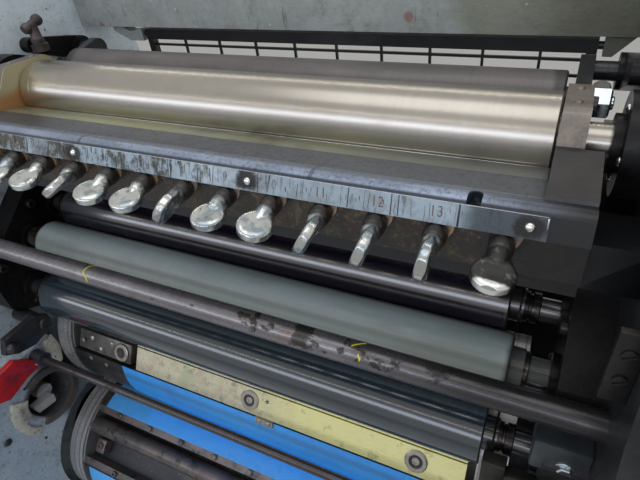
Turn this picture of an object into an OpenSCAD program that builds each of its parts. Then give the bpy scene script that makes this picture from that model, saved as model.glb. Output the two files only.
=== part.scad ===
// Printing unit of a one-colour sheet-fed offset press, from the floor up.
// X runs along the rollers, Y away from the feed side where the ink keys are, Z up.
// The key line is the line along which the ink key stems leave their rail.

/* [Unit] */
// Clear width between the two side frames
wall_gap = 770; // [740:1:840]
// Thickness of each cast side frame
wall_t = 36; // [28:1:50]
// Height of the key line above the floor
key_height = 1150; // [1130:1:1250]
// Distance of the key line in front of the middle of the unit
key_front = 60; // [50:1:70]
// Length of the foot of each side frame, front to back
foot_len = 800; // [780:1:900]

/* [Ink fountain] */
// Number of ink keys
key_count = 14; // [4:1:14]
// Distance between neighbouring ink keys
key_pitch = 45; // [40:1:46]
// Slope of the key stems below level
key_tilt = 7; // [0:1:12]
// Radius of the key shaft in its rail
key_shaft_r = 5; // [4:0.5:6]
// Radius of the black sleeve on each key
key_sleeve_r = 8; // [6:0.2:8]
// Width of a key's paddle
paddle_w = 30; // [20:1:32]
// Thickness of a key's paddle
paddle_t = 11; // [6:0.5:12]
// Length of the ink fountain between its cheeks
fountain_len = 626; // [600:1:640]
// Thickness of each fountain cheek
cheek_t = 19; // [14:1:22]
// Length of the fountain casting
casting_len = 690; // [680:1:720]
// Radius of the fountain roller
fountain_r = 38; // [34:0.5:40]
// Thickness of the fountain blade
blade_t = 1.2; // [0.6:0.1:2]
// Length of the numbered scale strip
strip_len = 638; // [620:1:660]
// Thickness of the scale strip
strip_t = 1.2; // [0.8:0.1:2]

/* [Rollers] */
// Length of the roller faces
roller_len = 622; // [580:1:630]
// Length of the oscillator and of the form roller
short_len = 603; // [580:1:630]
// Gap left between rollers that touch
nip = 0.3; // [0.2:0.05:0.5]
// Radius of the ductor roller
ductor_r = 26; // [24:0.5:27]
// Radius of the upper oscillator
upper_osc_r = 38; // [34:0.5:40]
// Radius of the oscillator in front
osc_r = 33; // [30:0.5:34]
// Radius of the ink drum between the two oscillators
drum_r = 46; // [45:0.5:48]
// Radius of the rubber distributor roller
distributor_r = 28; // [26:0.5:29]
// Radius of the form roller
form_r = 32; // [31:0.5:33]
// Radius of the transfer roller behind the form roller
transfer_r = 22; // [20:0.5:23]
// Radius of the roller journals
journal_r = 12; // [9:0.5:14]
// Running clearance of every shaft in its bore
fit = 0.05; // [0.02:0.01:0.08]
// Length of each roller bearing on the side frames
socket_len = 34; // [24:1:40]

/* [Cylinders] */
// Radius of the plate, blanket and impression cylinders
cyl_r = 117.6; // [114:0.2:118]
// Length of the cylinder bodies
cyl_len = 594; // [590:1:600]
// Width of each bearer ring
bearer_w = 28; // [10:1:30]
// Radius of the cylinder journals
cyl_journal_r = 30; // [25:1:36]
// Width of the gap in the plate and impression cylinders
gap_w = 74; // [60:1:76]
// Width of the gap in the blanket cylinder
blanket_gap_w = 99; // [90:1:104]
// Depth of the gap in a cylinder
gap_d = 30; // [24:1:36]
// Thickness of the printing plate and blanket wrapped round the cylinders
sheet_t = 1; // [0.6:0.1:1.4]

/* [Rails] */
// Radius of the steel tie bar in front of the rollers
tie_r = 12; // [10:0.5:14]
// Radius of the thin rod in front of the plate cylinder
rod_r = 5.5; // [4:0.5:7]
// Height of the rear beam
beam_h = 90; // [70:1:100]
// Depth of the rear beam
beam_d = 60; // [50:1:70]
// Wall of the rear beam
beam_wall = 5; // [3:0.5:8]
// Length of the mesh guard
guard_len = 600; // [560:1:620]
// Height of the mesh guard
guard_h = 250; // [200:1:270]
// Distance between the upright wires of the guard
guard_pitch = 60; // [40:1:70]

/* [Hidden] */
$fn = 64;

wall_x = wall_gap / 2;
outer_x = wall_x + wall_t;

// Places are [distance behind the key line, height above the key line].
function polar(c, d, a) = [c[0] + d * cos(a), c[1] + d * sin(a)];
// Centre of a circle of radius r that touches two others, on the side given by s.
function tangent_place(c1, r1, c2, r2, r, s) =
    let(d1 = r1 + r + nip, d2 = r2 + r + nip, v = c2 - c1, l = norm(v), u = v / l,
        a = (d1 * d1 - d2 * d2 + l * l) / (2 * l), h = sqrt(d1 * d1 - a * a))
    c1 + a * u + s * h * [-u[1], u[0]];

// Fountain and ductor
fountain_c = [133.7, 13.4];
fountain_shaft_r = 16;
ductor_c = polar(fountain_c, fountain_r + ductor_r + nip, 6.5);
ductor_gap = 9.2;
swing_arm = 50;
swing_c = polar(ductor_c, swing_arm, 13);
swing_r = 9;
// Roller train
upper_osc_c = polar(ductor_c, ductor_r + upper_osc_r + ductor_gap, -69);
osc_c = [99.6, -150];
drum_c = tangent_place(osc_c, osc_r, upper_osc_c, upper_osc_r, drum_r, -1);
distributor_c = polar(osc_c, osc_r + distributor_r + nip, 202.2);
// Cylinders
plate_c = [100.2, -361.1];
form_c = polar(plate_c, cyl_r + form_r + nip, 127.4);
transfer_c = tangent_place(distributor_c, distributor_r, form_c, form_r, transfer_r, 1);
blanket_c = polar(plate_c, 2 * cyl_r + nip, -112.3);
impression_c = polar(blanket_c, 2 * cyl_r + nip, -65);
plate_gap = 149;
blanket_gap = 132.6;
impression_gap = 200;
// Rods and lever
tie_c = [-22.4, -137.9];
rod_c = [-49.8, -331.8];
lever_c = [-64, -409];

// Outline with round corners: each point is [y, z, radius of the corner].
function corner(p, q, n) =
    let(c = [q[0], q[1]], a = [p[0], p[1]] - c, b = [n[0], n[1]] - c,
        ua = a / norm(a), ub = b / norm(b), half = acos(max(-1, min(1, ua * ub))) / 2,
        t = q[2] / tan(half), o = c + (ua + ub) / norm(ua + ub) * q[2] / sin(half),
        pa = c + ua * t - o, pb = c + ub * t - o,
        a0 = atan2(pa[1], pa[0]), turn = atan2(pb[1], pb[0]) - a0,
        d = turn > 180 ? turn - 360 : turn < -180 ? turn + 360 : turn, steps = max(2, ceil(abs(d) / 12)))
    [for (i = [0:steps]) o + q[2] * [cos(a0 + d * i / steps), sin(a0 + d * i / steps)]];
function rounded(p) =
    let(n = len(p)) [for (i = [0:n - 1]) each p[i][2] > 0
        ? corner(p[(i + n - 1) % n], p[i], p[(i + 1) % n]) : [[p[i][0], p[i][1]]]];
// Outline of a link with round ends.
function link(c1, r1, c2, r2) =
    let(v = c2 - c1, a = atan2(v[1], v[0]), b = acos((r1 - r2) / norm(v)))
    [for (i = [0:12]) polar(c2, r2, a - b + 2 * b * i / 12),
        for (i = [0:12]) polar(c1, r1, a + b + (360 - 2 * b) * i / 12)];

// Local x runs back from the key line, local y up and local z along X.
module along_x(x = 0) {
    translate([x, -key_front, key_height]) rotate([90, 0, 90]) children();
}
module slab(points, x0, x1) {
    along_x(x0) linear_extrude(x1 - x0) polygon(points);
}
module rod(c, r, x0, x1) {
    along_x(x0) translate([c[0], c[1], 0]) cylinder(h = x1 - x0, r = r);
}
module both_sides() {
    children();
    mirror([1, 0, 0]) children();
}

// A turned roller or cylinder: face, shoulders and journals in one revolved profile.
module turned(c, r, face, shoulder_r, shoulder_l, tip_r, reach) {
    edge = 1.5;
    h = face / 2;
    s = h + shoulder_l;
    half = [[r - edge, h], [shoulder_r, h], [shoulder_r, s], [tip_r, s], [tip_r, reach - 1],
        [tip_r - 1, reach]];
    right = concat([[r, h - edge]], half, [[0, reach]]);
    left = [for (i = [len(right) - 1:-1:0]) [right[i][0], -right[i][1]]];
    along_x() translate([c[0], c[1], 0]) rotate_extrude($fn = 96) polygon(concat(left, right));
}

journal_reach = wall_x - 4;
module ink_roller(c, r, l = roller_len) {
    turned(c, r, l, journal_r + 5, 12, journal_r, journal_reach);
}

// Side frames
foot_y0 = key_front - foot_len / 2;
foot_y1 = foot_y0 + foot_len;
foot_h = 70;
foot_out = 60;
foot_t = 28;
foot_hole_r = 11;
foot_hole_in = 45;
waist = 60;
frame_outline = rounded([
    [foot_y0, -key_height, 0], [foot_y1, -key_height, 0], [foot_y1, -key_height + foot_h, 12],
    [foot_y1 - waist, -key_height + 2 * foot_h, 40], [foot_y1 - waist, -120, 60], [380, 20, 60],
    [380, 168, 40], [150, 168, 50], [70, 70, 50], [-45, 30, 25], [-75, -90, 60], [-190, -330, 90],
    [-230, -560, 80], [foot_y0 + waist, -key_height + 2 * foot_h, 60], [foot_y0, -key_height + foot_h, 12]]);
pad_t = 45;
pad_x = wall_x - pad_t;
pad_outline = rounded([
    [-172, -318, 20], [-10, -318, 8], [0, -460, 20], [0, -730, 20], [-140, -730, 40], [-200, -560, 60]]);
bearing_r = 62;
bearer_room = cyl_r + 9;
lever_bush_r = 36;
bar_seat = 20;
foot_holes = [foot_y0 + foot_hole_in, foot_y1 - foot_hole_in];

module side_frame() {
    difference() {
        union() {
            slab(frame_outline, wall_x, outer_x);
            slab(pad_outline, pad_x, outer_x);
            translate([outer_x, foot_y0 - key_front, 0]) cube([foot_out, foot_len, foot_t]);
        }
        for (c = [plate_c, blanket_c, impression_c]) {
            rod(c, bearing_r, wall_x - 1, outer_x + 1);
            rod(c, bearer_room, pad_x - 1, wall_x);
        }
        rod(lever_c, lever_bush_r, pad_x - 1, outer_x + 1);
        rod(tie_c, tie_r, wall_x - 1, wall_x + bar_seat);
        rod(rod_c, rod_r, pad_x - 1, pad_x + bar_seat);
        for (y = foot_holes)
            translate([outer_x + foot_out / 2, y - key_front, -1]) cylinder(h = foot_t + 2, r = foot_hole_r);
    }
}
module left_side_frame() {
    color("lightsteelblue") mirror([1, 0, 0]) side_frame();
}
module right_side_frame() {
    color("lightsteelblue") side_frame();
}

// Sills that tie the frames together at the floor, and the sheet on the rear one that closes the back
sill_h = 150;
sill_t = 40;
sill_in = 70;
cover_y = foot_y1 - sill_in - sill_t;
sheet_top = -230;
sheet_flange = 16;
cover_sheet = 3;
module cross_sills() {
    color("slategray") {
        for (y = [foot_y0 + sill_in, cover_y])
            translate([-wall_x, y - key_front, 0]) cube([wall_gap, sill_t, sill_h]);
        slab([[cover_y, sill_h - key_height - 1], [cover_y + cover_sheet, sill_h - key_height - 1],
            [cover_y + cover_sheet, sheet_top], [cover_y - sheet_flange, sheet_top],
            [cover_y - sheet_flange, sheet_top - cover_sheet], [cover_y, sheet_top - cover_sheet]],
            -wall_x, wall_x);
    }
}

collar_t = 22;
module front_tie_bars() {
    color("dimgray") {
        rod(tie_c, tie_r, -wall_x - bar_seat, wall_x + bar_seat);
        rod(rod_c, rod_r, -pad_x - bar_seat, pad_x + bar_seat);
        both_sides() rod(rod_c, rod_r + 5, pad_x - collar_t, pad_x);
    }
}

// Rear beam with the two straps that the guard hangs from
beam_front = 285;
beam_low = 51.6;
guard_x0 = -268;
guard_x1 = guard_x0 + guard_len;
hinge_c = [300, 39];
hinge_r = 4;
strap_t = 16;
strap_gap = 5;
pin_seat = 8;
left_strap = rounded([
    [-56, beam_low + 1, 0], [-56, 44, 10], [-26, 30, 14], [0, 30, 0], [0, 46, 0], [-24, 43, 10],
    [-42, beam_low + 1, 0]]);
right_strap = [[0, beam_low + 1], [0, 30], [9, 30], [30, beam_low + 1]];
module strap(points, x) {
    translate([x, hinge_c[0] - key_front + strap_t / 2, key_height]) rotate([90, 0, 0])
        linear_extrude(strap_t) polygon(points);
}
module rear_beam() {
    color("darkseagreen") difference() {
        union() {
            along_x(-wall_x) translate([beam_front, beam_low, 0]) difference() {
                cube([beam_d, beam_h, wall_gap]);
                translate([beam_wall, beam_wall, -1])
                    cube([beam_d - 2 * beam_wall, beam_h - 2 * beam_wall, wall_gap + 2]);
            }
            strap(left_strap, guard_x0 - strap_gap);
            strap(right_strap, guard_x1 + strap_gap);
        }
        rod(hinge_c, hinge_r + fit, guard_x0 - strap_gap - pin_seat, guard_x0 - strap_gap + 1);
        rod(hinge_c, hinge_r + fit, guard_x1 + strap_gap - 1, guard_x1 + strap_gap + pin_seat);
    }
}

// Ink fountain
blade_angle = 191.5;
blade_slope = 14.3;
blade_w = 35.3;
blade_free = 10;
blade_down = [-sin(blade_slope), -cos(blade_slope)];
blade_tip = polar(fountain_c, fountain_r + nip, blade_angle);
blade_back = polar(blade_tip, blade_w, 180 - blade_slope);
bed_start = blade_back + blade_down * blade_t;
bed_end = polar(blade_tip, blade_free, 180 - blade_slope) + blade_down * blade_t;
bed_under = bed_end + [1, -14];
strip_foot = [-5, 8.2];
strip_w = 16.6;
strip_lean = 21;
strip_top = polar(strip_foot, strip_w, 90 - strip_lean);
strip_out = [-cos(strip_lean), sin(strip_lean)];
ridge = polar(blade_back, 49, 180 - blade_slope);
rail_t = 9;
rail_low = -27;
nose_r = 10;
nose_c = polar(polar(ridge, 3.2, 180 - blade_slope), nose_r, -90 - blade_slope);
casting_low = -46;
casting_outline = concat(
    [[rail_t, strip_foot[1]], strip_foot, strip_top],
    [for (a = [138:-6:78]) polar(nose_c, nose_r, a)],
    [blade_back, bed_start, bed_end, bed_under, bed_under + [-22, -24], [52, casting_low],
        [rail_t, casting_low]]);
// Slotted hole in the nose near the right end
slot_x = 270.5;
slot_turn = 20;
slot_depth = 14;
slot_outline = link([0, -3.5], 5, [0, 3.5], 5);
lug_outline = [[20, casting_low], [52, casting_low], [62, -30], [62, -6], [20, -6]];
key_x = [for (k = [1:key_count]) (k - (key_count + 1) / 2) * key_pitch];
key_depth = 30;

module key_frame(x) {
    translate([x, -key_front, key_height]) rotate([90 + key_tilt, 0, 0]) children();
}
module key_bores() {
    for (x = key_x)
        key_frame(x) translate([0, 0, -key_depth - 2]) cylinder(h = key_depth + 22, r = key_shaft_r + fit);
}

module fountain_casting() {
    color("dimgray") difference() {
        union() {
            slab(casting_outline, -casting_len / 2, casting_len / 2);
            slab(lug_outline, -wall_x, wall_x);
        }
        key_bores();
        translate([slot_x, nose_c[0] - key_front, nose_c[1] + key_height]) rotate([slot_turn, 0, 0])
            translate([0, 0, nose_r - slot_depth]) linear_extrude(2 * nose_r) polygon(slot_outline);
    }
}

blade_len = fountain_len - 2;
module fountain_blade() {
    color("darkkhaki") slab([blade_tip, blade_back, bed_start, blade_tip + blade_down * blade_t],
        -blade_len / 2, blade_len / 2);
}

module scale_strip() {
    lift = strip_out * strip_t;
    color("silver") slab([strip_foot, strip_top, strip_top + lift, strip_foot + lift],
        -strip_len / 2, strip_len / 2);
}

boss_r = 8;
boss_l = 2.5;
boss_in = 1.5;
module key_rail() {
    color("saddlebrown") difference() {
        union() {
            slab([[0, rail_low], [rail_t, rail_low], [rail_t, strip_foot[1]], [0, strip_foot[1]]],
                -casting_len / 2, casting_len / 2);
            for (x = key_x)
                key_frame(x) translate([0, 0, -boss_in]) cylinder(h = boss_in + boss_l, r = boss_r);
        }
        key_bores();
    }
}

// Ink keys: shaft, black sleeve and a flat paddle with round corners
sleeve_z0 = boss_l + 0.5;
sleeve_z1 = 20;
paddle_z1 = 48.5;
paddle_neck = 6.5;
paddle_rest = [-5, 40, -10, -5, 34, -10, -5, 60, -5, -15, 60, 68, 82, -5];
paddle_outline = link([0, sleeve_z1 + 1], paddle_neck, [0, paddle_z1 - paddle_w / 2], paddle_w / 2);
module ink_key(k) {
    color("gainsboro") key_frame(key_x[k - 1]) {
        translate([0, 0, -key_depth]) cylinder(h = key_depth + sleeve_z1, r = key_shaft_r);
        translate([0, 0, sleeve_z0]) cylinder(h = sleeve_z1 - sleeve_z0, r = key_sleeve_r);
        rotate([0, 0, paddle_rest[k - 1]]) translate([0, paddle_t / 2, 0]) rotate([90, 0, 0])
            linear_extrude(paddle_t) polygon(paddle_outline);
    }
}

// Fountain cheeks
cheek_x = fountain_len / 2;
cheek_foot = polar(blade_back, 47, 180 - blade_slope);
cheek_step = [76, 35.6];
cheek_front = [[cheek_foot[0], cheek_foot[1], 0], [cheek_foot[0] + 2, 29.5, 2],
    [cheek_step[0], cheek_step[1], 2]];
cheek_low = -34;
cheek_back = 166;
cheek_top = 56;
cheek_seat = [[bed_start[0], bed_start[1], 0], [blade_back[0], blade_back[1], 0]];
cheek_outline = rounded(concat(cheek_front, [
    [93, cheek_top + 1, 12], [cheek_back - 14, cheek_top - 2, 10], [cheek_back, cheek_top - 14, 8],
    [cheek_back, cheek_low, 8], [bed_under[0] + 10, cheek_low, 6], [bed_under[0], bed_under[1], 0],
    [bed_end[0], bed_end[1], 0]], cheek_seat));
cheek_heel = polar(bed_start, 14, -blade_slope);
cheek_block = rounded(concat(cheek_front, [[cheek_heel[0], cheek_heel[1], 0]], cheek_seat));
module fountain_cheeks() {
    color("gray") both_sides() difference() {
        union() {
            slab(cheek_outline, cheek_x, cheek_x + cheek_t);
            slab(cheek_block, cheek_x, casting_len / 2);
        }
        rod(fountain_c, fountain_shaft_r + fit, cheek_x - 1, cheek_x + cheek_t + 1);
    }
}

module fountain_roller() {
    color("silver") turned(fountain_c, fountain_r, fountain_len - 2, fountain_shaft_r + 4, 0.6,
        fountain_shaft_r, journal_reach);
}

// Ductor and its swing arms
arm_x = roller_len / 2 + 7;
arm_t = 13;
arm_hub_r = 15;
ductor_journal_r = 8;
module ductor_swing() {
    color("dimgray") difference() {
        union() {
            both_sides() rod(swing_c, swing_r, arm_x, journal_reach);
            both_sides() slab(link(ductor_c, arm_hub_r, swing_c, arm_hub_r - 1), arm_x, arm_x + arm_t);
        }
        both_sides() rod(ductor_c, ductor_journal_r + fit, arm_x - 1, arm_x + arm_t + 1);
    }
}
module ductor_roller() {
    color("#202020") turned(ductor_c, ductor_r, roller_len, 12, 4, ductor_journal_r, arm_x + arm_t + 3);
}

module upper_oscillator() {
    color("#303038") ink_roller(upper_osc_c, upper_osc_r);
}
module ink_drum() {
    color("#303038") ink_roller(drum_c, drum_r);
}
module oscillator() {
    color("#24222c") ink_roller(osc_c, osc_r, short_len);
}
module distributor_roller() {
    color("#68746c") ink_roller(distributor_c, distributor_r);
}
module transfer_roller() {
    color("#303038") ink_roller(transfer_c, transfer_r);
}
module form_roller() {
    color("#1c1c20") ink_roller(form_c, form_r, short_len);
}

// Cylinders with their bearer rings and gaps
core_r = cyl_r - sheet_t;
cyl_reach = outer_x + 8;
groove_w = 3;
groove_d = 4;
bearer_x = cyl_len / 2 + groove_w;
neck_r = cyl_journal_r + 12;
module gap_box(c, a, w, low, high, half_l) {
    along_x() translate([c[0], c[1], 0]) rotate([0, 0, a]) translate([low, -w / 2, -half_l])
        cube([high - low, w, 2 * half_l]);
}
module cylinder_body(c, r, a, w) {
    difference() {
        union() {
            rod(c, r, -cyl_len / 2, cyl_len / 2);
            rod(c, core_r - groove_d, -bearer_x, bearer_x);
            both_sides() rod(c, cyl_r, bearer_x, bearer_x + bearer_w);
            rod(c, neck_r, -wall_x + 8, wall_x - 8);
            rod(c, cyl_journal_r, -cyl_reach, cyl_reach);
        }
        gap_box(c, a, w, core_r - gap_d, cyl_r + 5, bearer_x - 1);
    }
}
// A thin sheet wrapped round a cylinder from one edge of its gap to the other.
module wrapped_sheet(c, a, w, x0, x1) {
    difference() {
        rod(c, cyl_r, x0, x1);
        rod(c, core_r, x0 - 1, x1 + 1);
        gap_box(c, a, w, 0, cyl_r + 5, cyl_len / 2);
    }
}
// The plate and its clamps sit off centre, towards the right.
plate_x0 = -cyl_len / 2 + 99;
plate_x1 = cyl_len / 2 - 9;
clamp_high = cyl_r - 6.6;
clamp_w = 34;
clamp_split = 1;
clamp_x0 = plate_x0 + 26;
clamp_x1 = plate_x1 + 2;
module plate_cylinder() {
    color("gray") cylinder_body(plate_c, core_r, plate_gap, gap_w);
}
module plate_clamps() {
    color("khaki") along_x(clamp_x0) translate([plate_c[0], plate_c[1], 0]) rotate([0, 0, plate_gap])
        for (y = [clamp_split, -clamp_split - clamp_w])
            translate([core_r - gap_d, y, 0])
                cube([clamp_high - core_r + gap_d, clamp_w, clamp_x1 - clamp_x0]);
}
module printing_plate() {
    color("royalblue") wrapped_sheet(plate_c, plate_gap, gap_w, plate_x0, plate_x1);
}

blanket_in = 13;
edge_bar_w = 12;
edge_bar_h = gap_d - 13;
reel_r = 13;
reel_side = -15;
module blanket_cylinder() {
    color("gray") cylinder_body(blanket_c, core_r, blanket_gap, blanket_gap_w);
}
module blanket_bar() {
    color("silver")
        along_x(-bearer_x + 1) translate([blanket_c[0], blanket_c[1], 0]) rotate([0, 0, blanket_gap])
            translate([core_r - gap_d, 0, 0]) {
                for (y = [-blanket_gap_w / 2, blanket_gap_w / 2 - edge_bar_w])
                    translate([0, y, 0]) cube([edge_bar_h, edge_bar_w, 2 * bearer_x - 2]);
                translate([reel_r + nip, reel_side, 0]) cylinder(h = 2 * bearer_x - 2, r = reel_r);
            }
}
module blanket() {
    color("cornflowerblue") wrapped_sheet(blanket_c, blanket_gap, blanket_gap_w,
        -cyl_len / 2 + blanket_in, cyl_len / 2 - blanket_in);
}
module impression_cylinder() {
    color("gray") cylinder_body(impression_c, cyl_r, impression_gap, gap_w);
}

// Roller bearings on the inner faces of the side frames, with the plate that carries those of the train
hub_wall = 8;
hub_out = 6;
bracket_x = wall_x - socket_len;
housing_r = 42;
housing_t = 27;
stop_arm = polar(swing_c, 78, 161);
train = [[upper_osc_c, journal_r], [drum_c, journal_r], [osc_c, journal_r], [distributor_c, journal_r],
    [transfer_c, journal_r], [form_c, journal_r]];
bracket_outline = rounded([
    [-38, -200, 15], [8, -148, 15], [72, -100, 30], [130, -62, 30], [212, -6, 30], [262, -20, 30],
    [262, -90, 40], [150, -190, 40], [92, -270, 25], [0, -276, 30], [-36, -258, 20]]);
module roller_sockets() {
    color("#383838") both_sides() {
        difference() {
            union() {
                slab(bracket_outline, bracket_x, wall_x);
                for (s = train) rod(s[0], s[1] + hub_wall, bracket_x - hub_out, wall_x);
            }
            for (s = train) rod(s[0], s[1] + fit, bracket_x - hub_out - 1, wall_x + 1);
        }
        difference() {
            union() {
                rod(fountain_c, fountain_shaft_r + hub_wall, bracket_x, wall_x);
                rod(fountain_c, housing_r, wall_x - housing_t, wall_x);
            }
            rod(fountain_c, fountain_shaft_r + fit, bracket_x - 1, wall_x + 1);
        }
        difference() {
            union() {
                rod(swing_c, swing_r + hub_wall, bracket_x, wall_x);
                slab(link(swing_c, swing_r + hub_wall, stop_arm, 10), bracket_x + 4, bracket_x + 20);
            }
            rod(swing_c, swing_r + fit, bracket_x - 1, wall_x + 1);
        }
    }
}

flange_r = 80;
flange_t = 12;
bush_in = 4;
module cylinder_bearings() {
    color("dimgray") both_sides() {
        for (c = [plate_c, blanket_c, impression_c]) difference() {
            union() {
                rod(c, bearing_r, wall_x - bush_in, outer_x);
                rod(c, flange_r, outer_x, outer_x + flange_t);
            }
            rod(c, cyl_journal_r + fit, wall_x - bush_in - 1, outer_x + flange_t + 1);
        }
        difference() {
            rod(lever_c, lever_bush_r, wall_x, outer_x);
            rod(lever_c, lever_shaft_r + fit, wall_x - 1, outer_x + 1);
        }
    }
}

// Mesh guard that swings up and back on the straps under the rear beam
guard_bar = 10;
top_bar_h = 14;
pin_l = strap_gap + pin_seat - 2;
wire = 3;
wire_drop = 17;
guard_rows = floor((guard_h - 2 * top_bar_h) / wire_drop);
module mesh_guard() {
    side_bars = [guard_x0, guard_x1 - guard_bar];
    color("#202020") {
        rod(hinge_c, hinge_r, guard_x0 - pin_l, guard_x1 + pin_l);
        along_x() translate([hinge_c[0], hinge_c[1], 0]) {
            translate([-guard_bar / 2, -top_bar_h / 2, guard_x0]) cube([guard_bar, top_bar_h, guard_len]);
            translate([-guard_bar / 2, -guard_h, guard_x0]) cube([guard_bar, guard_bar, guard_len]);
            for (x = side_bars)
                translate([-guard_bar / 2, -guard_h, x]) cube([guard_bar, guard_h, guard_bar]);
            for (x = [guard_x0 + guard_pitch + guard_bar / 2:guard_pitch:guard_x1 - guard_pitch / 2])
                translate([-wire / 2, -guard_h + 1, x]) cube([wire, guard_h - 2, wire]);
            for (j = [1:guard_rows])
                translate([-wire / 2, -j * wire_drop, guard_x0 + 1]) cube([wire, wire, guard_len - 2]);
        }
    }
}

// Lever and shaft that throw the cylinders on and off
lever_shaft_r = 13;
lever_t = 14;
lever_x = pad_x - 2;
lever_arm = rounded([for (p = [[4, -3], [2, -19], [-28, -12], [-30, 2]]) concat(lever_c + p, 3)]);
module throw_off_lever() {
    color("lightslategray") {
        rod(lever_c, lever_shaft_r, -outer_x + 2, -lever_x - lever_t);
        slab(lever_arm, -lever_x - lever_t, -lever_x);
    }
}

// Closed cover over the gears outside the left frame
cover_t = foot_out;
cover_wall = 4;
cover_low = -940;
cover_top = -60;
cover_front = -130;
cover_back = 270;
cover_outline = rounded([
    [-60, cover_low, 50], [cover_back - 20, cover_low, 50], [cover_back, cover_top, 70], [20, cover_top, 70],
    [cover_front, -480, 60], [cover_front, -700, 60]]);
module drive_cover() {
    color("lightsteelblue") difference() {
        slab(cover_outline, -outer_x - cover_t, -outer_x);
        for (c = [plate_c, blanket_c, impression_c])
            rod(c, flange_r + 2, -outer_x - cover_t + cover_wall, -outer_x + 1);
    }
}

left_side_frame();
right_side_frame();
cross_sills();
front_tie_bars();
rear_beam();
fountain_casting();
fountain_blade();
scale_strip();
key_rail();
fountain_cheeks();
fountain_roller();
ductor_swing();
ductor_roller();
upper_oscillator();
ink_drum();
oscillator();
distributor_roller();
transfer_roller();
form_roller();
plate_cylinder();
plate_clamps();
printing_plate();
blanket_cylinder();
blanket_bar();
blanket();
impression_cylinder();
roller_sockets();
cylinder_bearings();
mesh_guard();
throw_off_lever();
drive_cover();
for (k = [1:key_count]) ink_key(k);
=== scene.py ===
"""Looks of a sheet-fed offset press's printing unit, seen from above its ink fountain."""
import math
import random

import bmesh
import bpy
from mathutils import Matrix, Vector


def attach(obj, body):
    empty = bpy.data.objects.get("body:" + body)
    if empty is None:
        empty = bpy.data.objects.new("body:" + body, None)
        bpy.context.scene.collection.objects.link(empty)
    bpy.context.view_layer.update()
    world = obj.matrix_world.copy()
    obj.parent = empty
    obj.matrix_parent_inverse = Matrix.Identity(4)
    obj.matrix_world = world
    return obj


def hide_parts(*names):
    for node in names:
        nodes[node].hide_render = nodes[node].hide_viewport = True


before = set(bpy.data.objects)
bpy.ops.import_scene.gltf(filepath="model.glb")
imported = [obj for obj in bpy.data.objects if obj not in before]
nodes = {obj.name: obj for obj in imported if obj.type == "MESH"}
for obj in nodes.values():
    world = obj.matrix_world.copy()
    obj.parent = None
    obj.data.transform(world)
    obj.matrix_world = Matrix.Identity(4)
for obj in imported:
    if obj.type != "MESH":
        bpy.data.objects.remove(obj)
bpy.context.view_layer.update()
scene = bpy.context.scene
scene.view_settings.view_transform = "Standard"

# Camera, held low over the right half of the ink keys and turned to the left, with a short lens and
# a slight roll.
camera = bpy.data.objects.new("camera", bpy.data.cameras.new("camera"))
scene.collection.objects.link(camera)
scene.camera = camera
camera.data.lens = 28.125
camera.data.clip_start = 0.01
camera_place = Vector((0.3154, -0.3490, 1.3684))
camera_yaw, camera_dip, camera_roll = (math.radians(a) for a in (29.78, 37.09, 7.44))
camera.matrix_world = (
    Matrix.Translation(camera_place)
    @ Matrix.Rotation(camera_yaw, 4, "Z")
    @ Matrix.Rotation(math.pi / 2 - camera_dip, 4, "X")
    @ Matrix.Rotation(-camera_roll, 4, "Z")
)

# Ink keys: zinc plated paddles, drop-shaped, whose round shank runs out in a cone on the flat face.
# The plating is pitted and stained, with blue-grey patches of painted reflection on it, each tip has a ground spot,
# and a dark greasy sleeve sits behind.
key_pitch = 45
key_x = [(k - 7.5) * key_pitch for k in range(1, 15)]
key_lean = math.radians(7)
paddle_rest = [-5, 40, -10, -5, 34, -10, -5, 60, -5, -15, 60, 68, 82, -5]
stubby_keys = (1, 2, 8, 9, 14)
deep_ground_keys, dark_key = (11, 12, 13, 14), 14
shaft_line = (-60, 1150)


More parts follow.
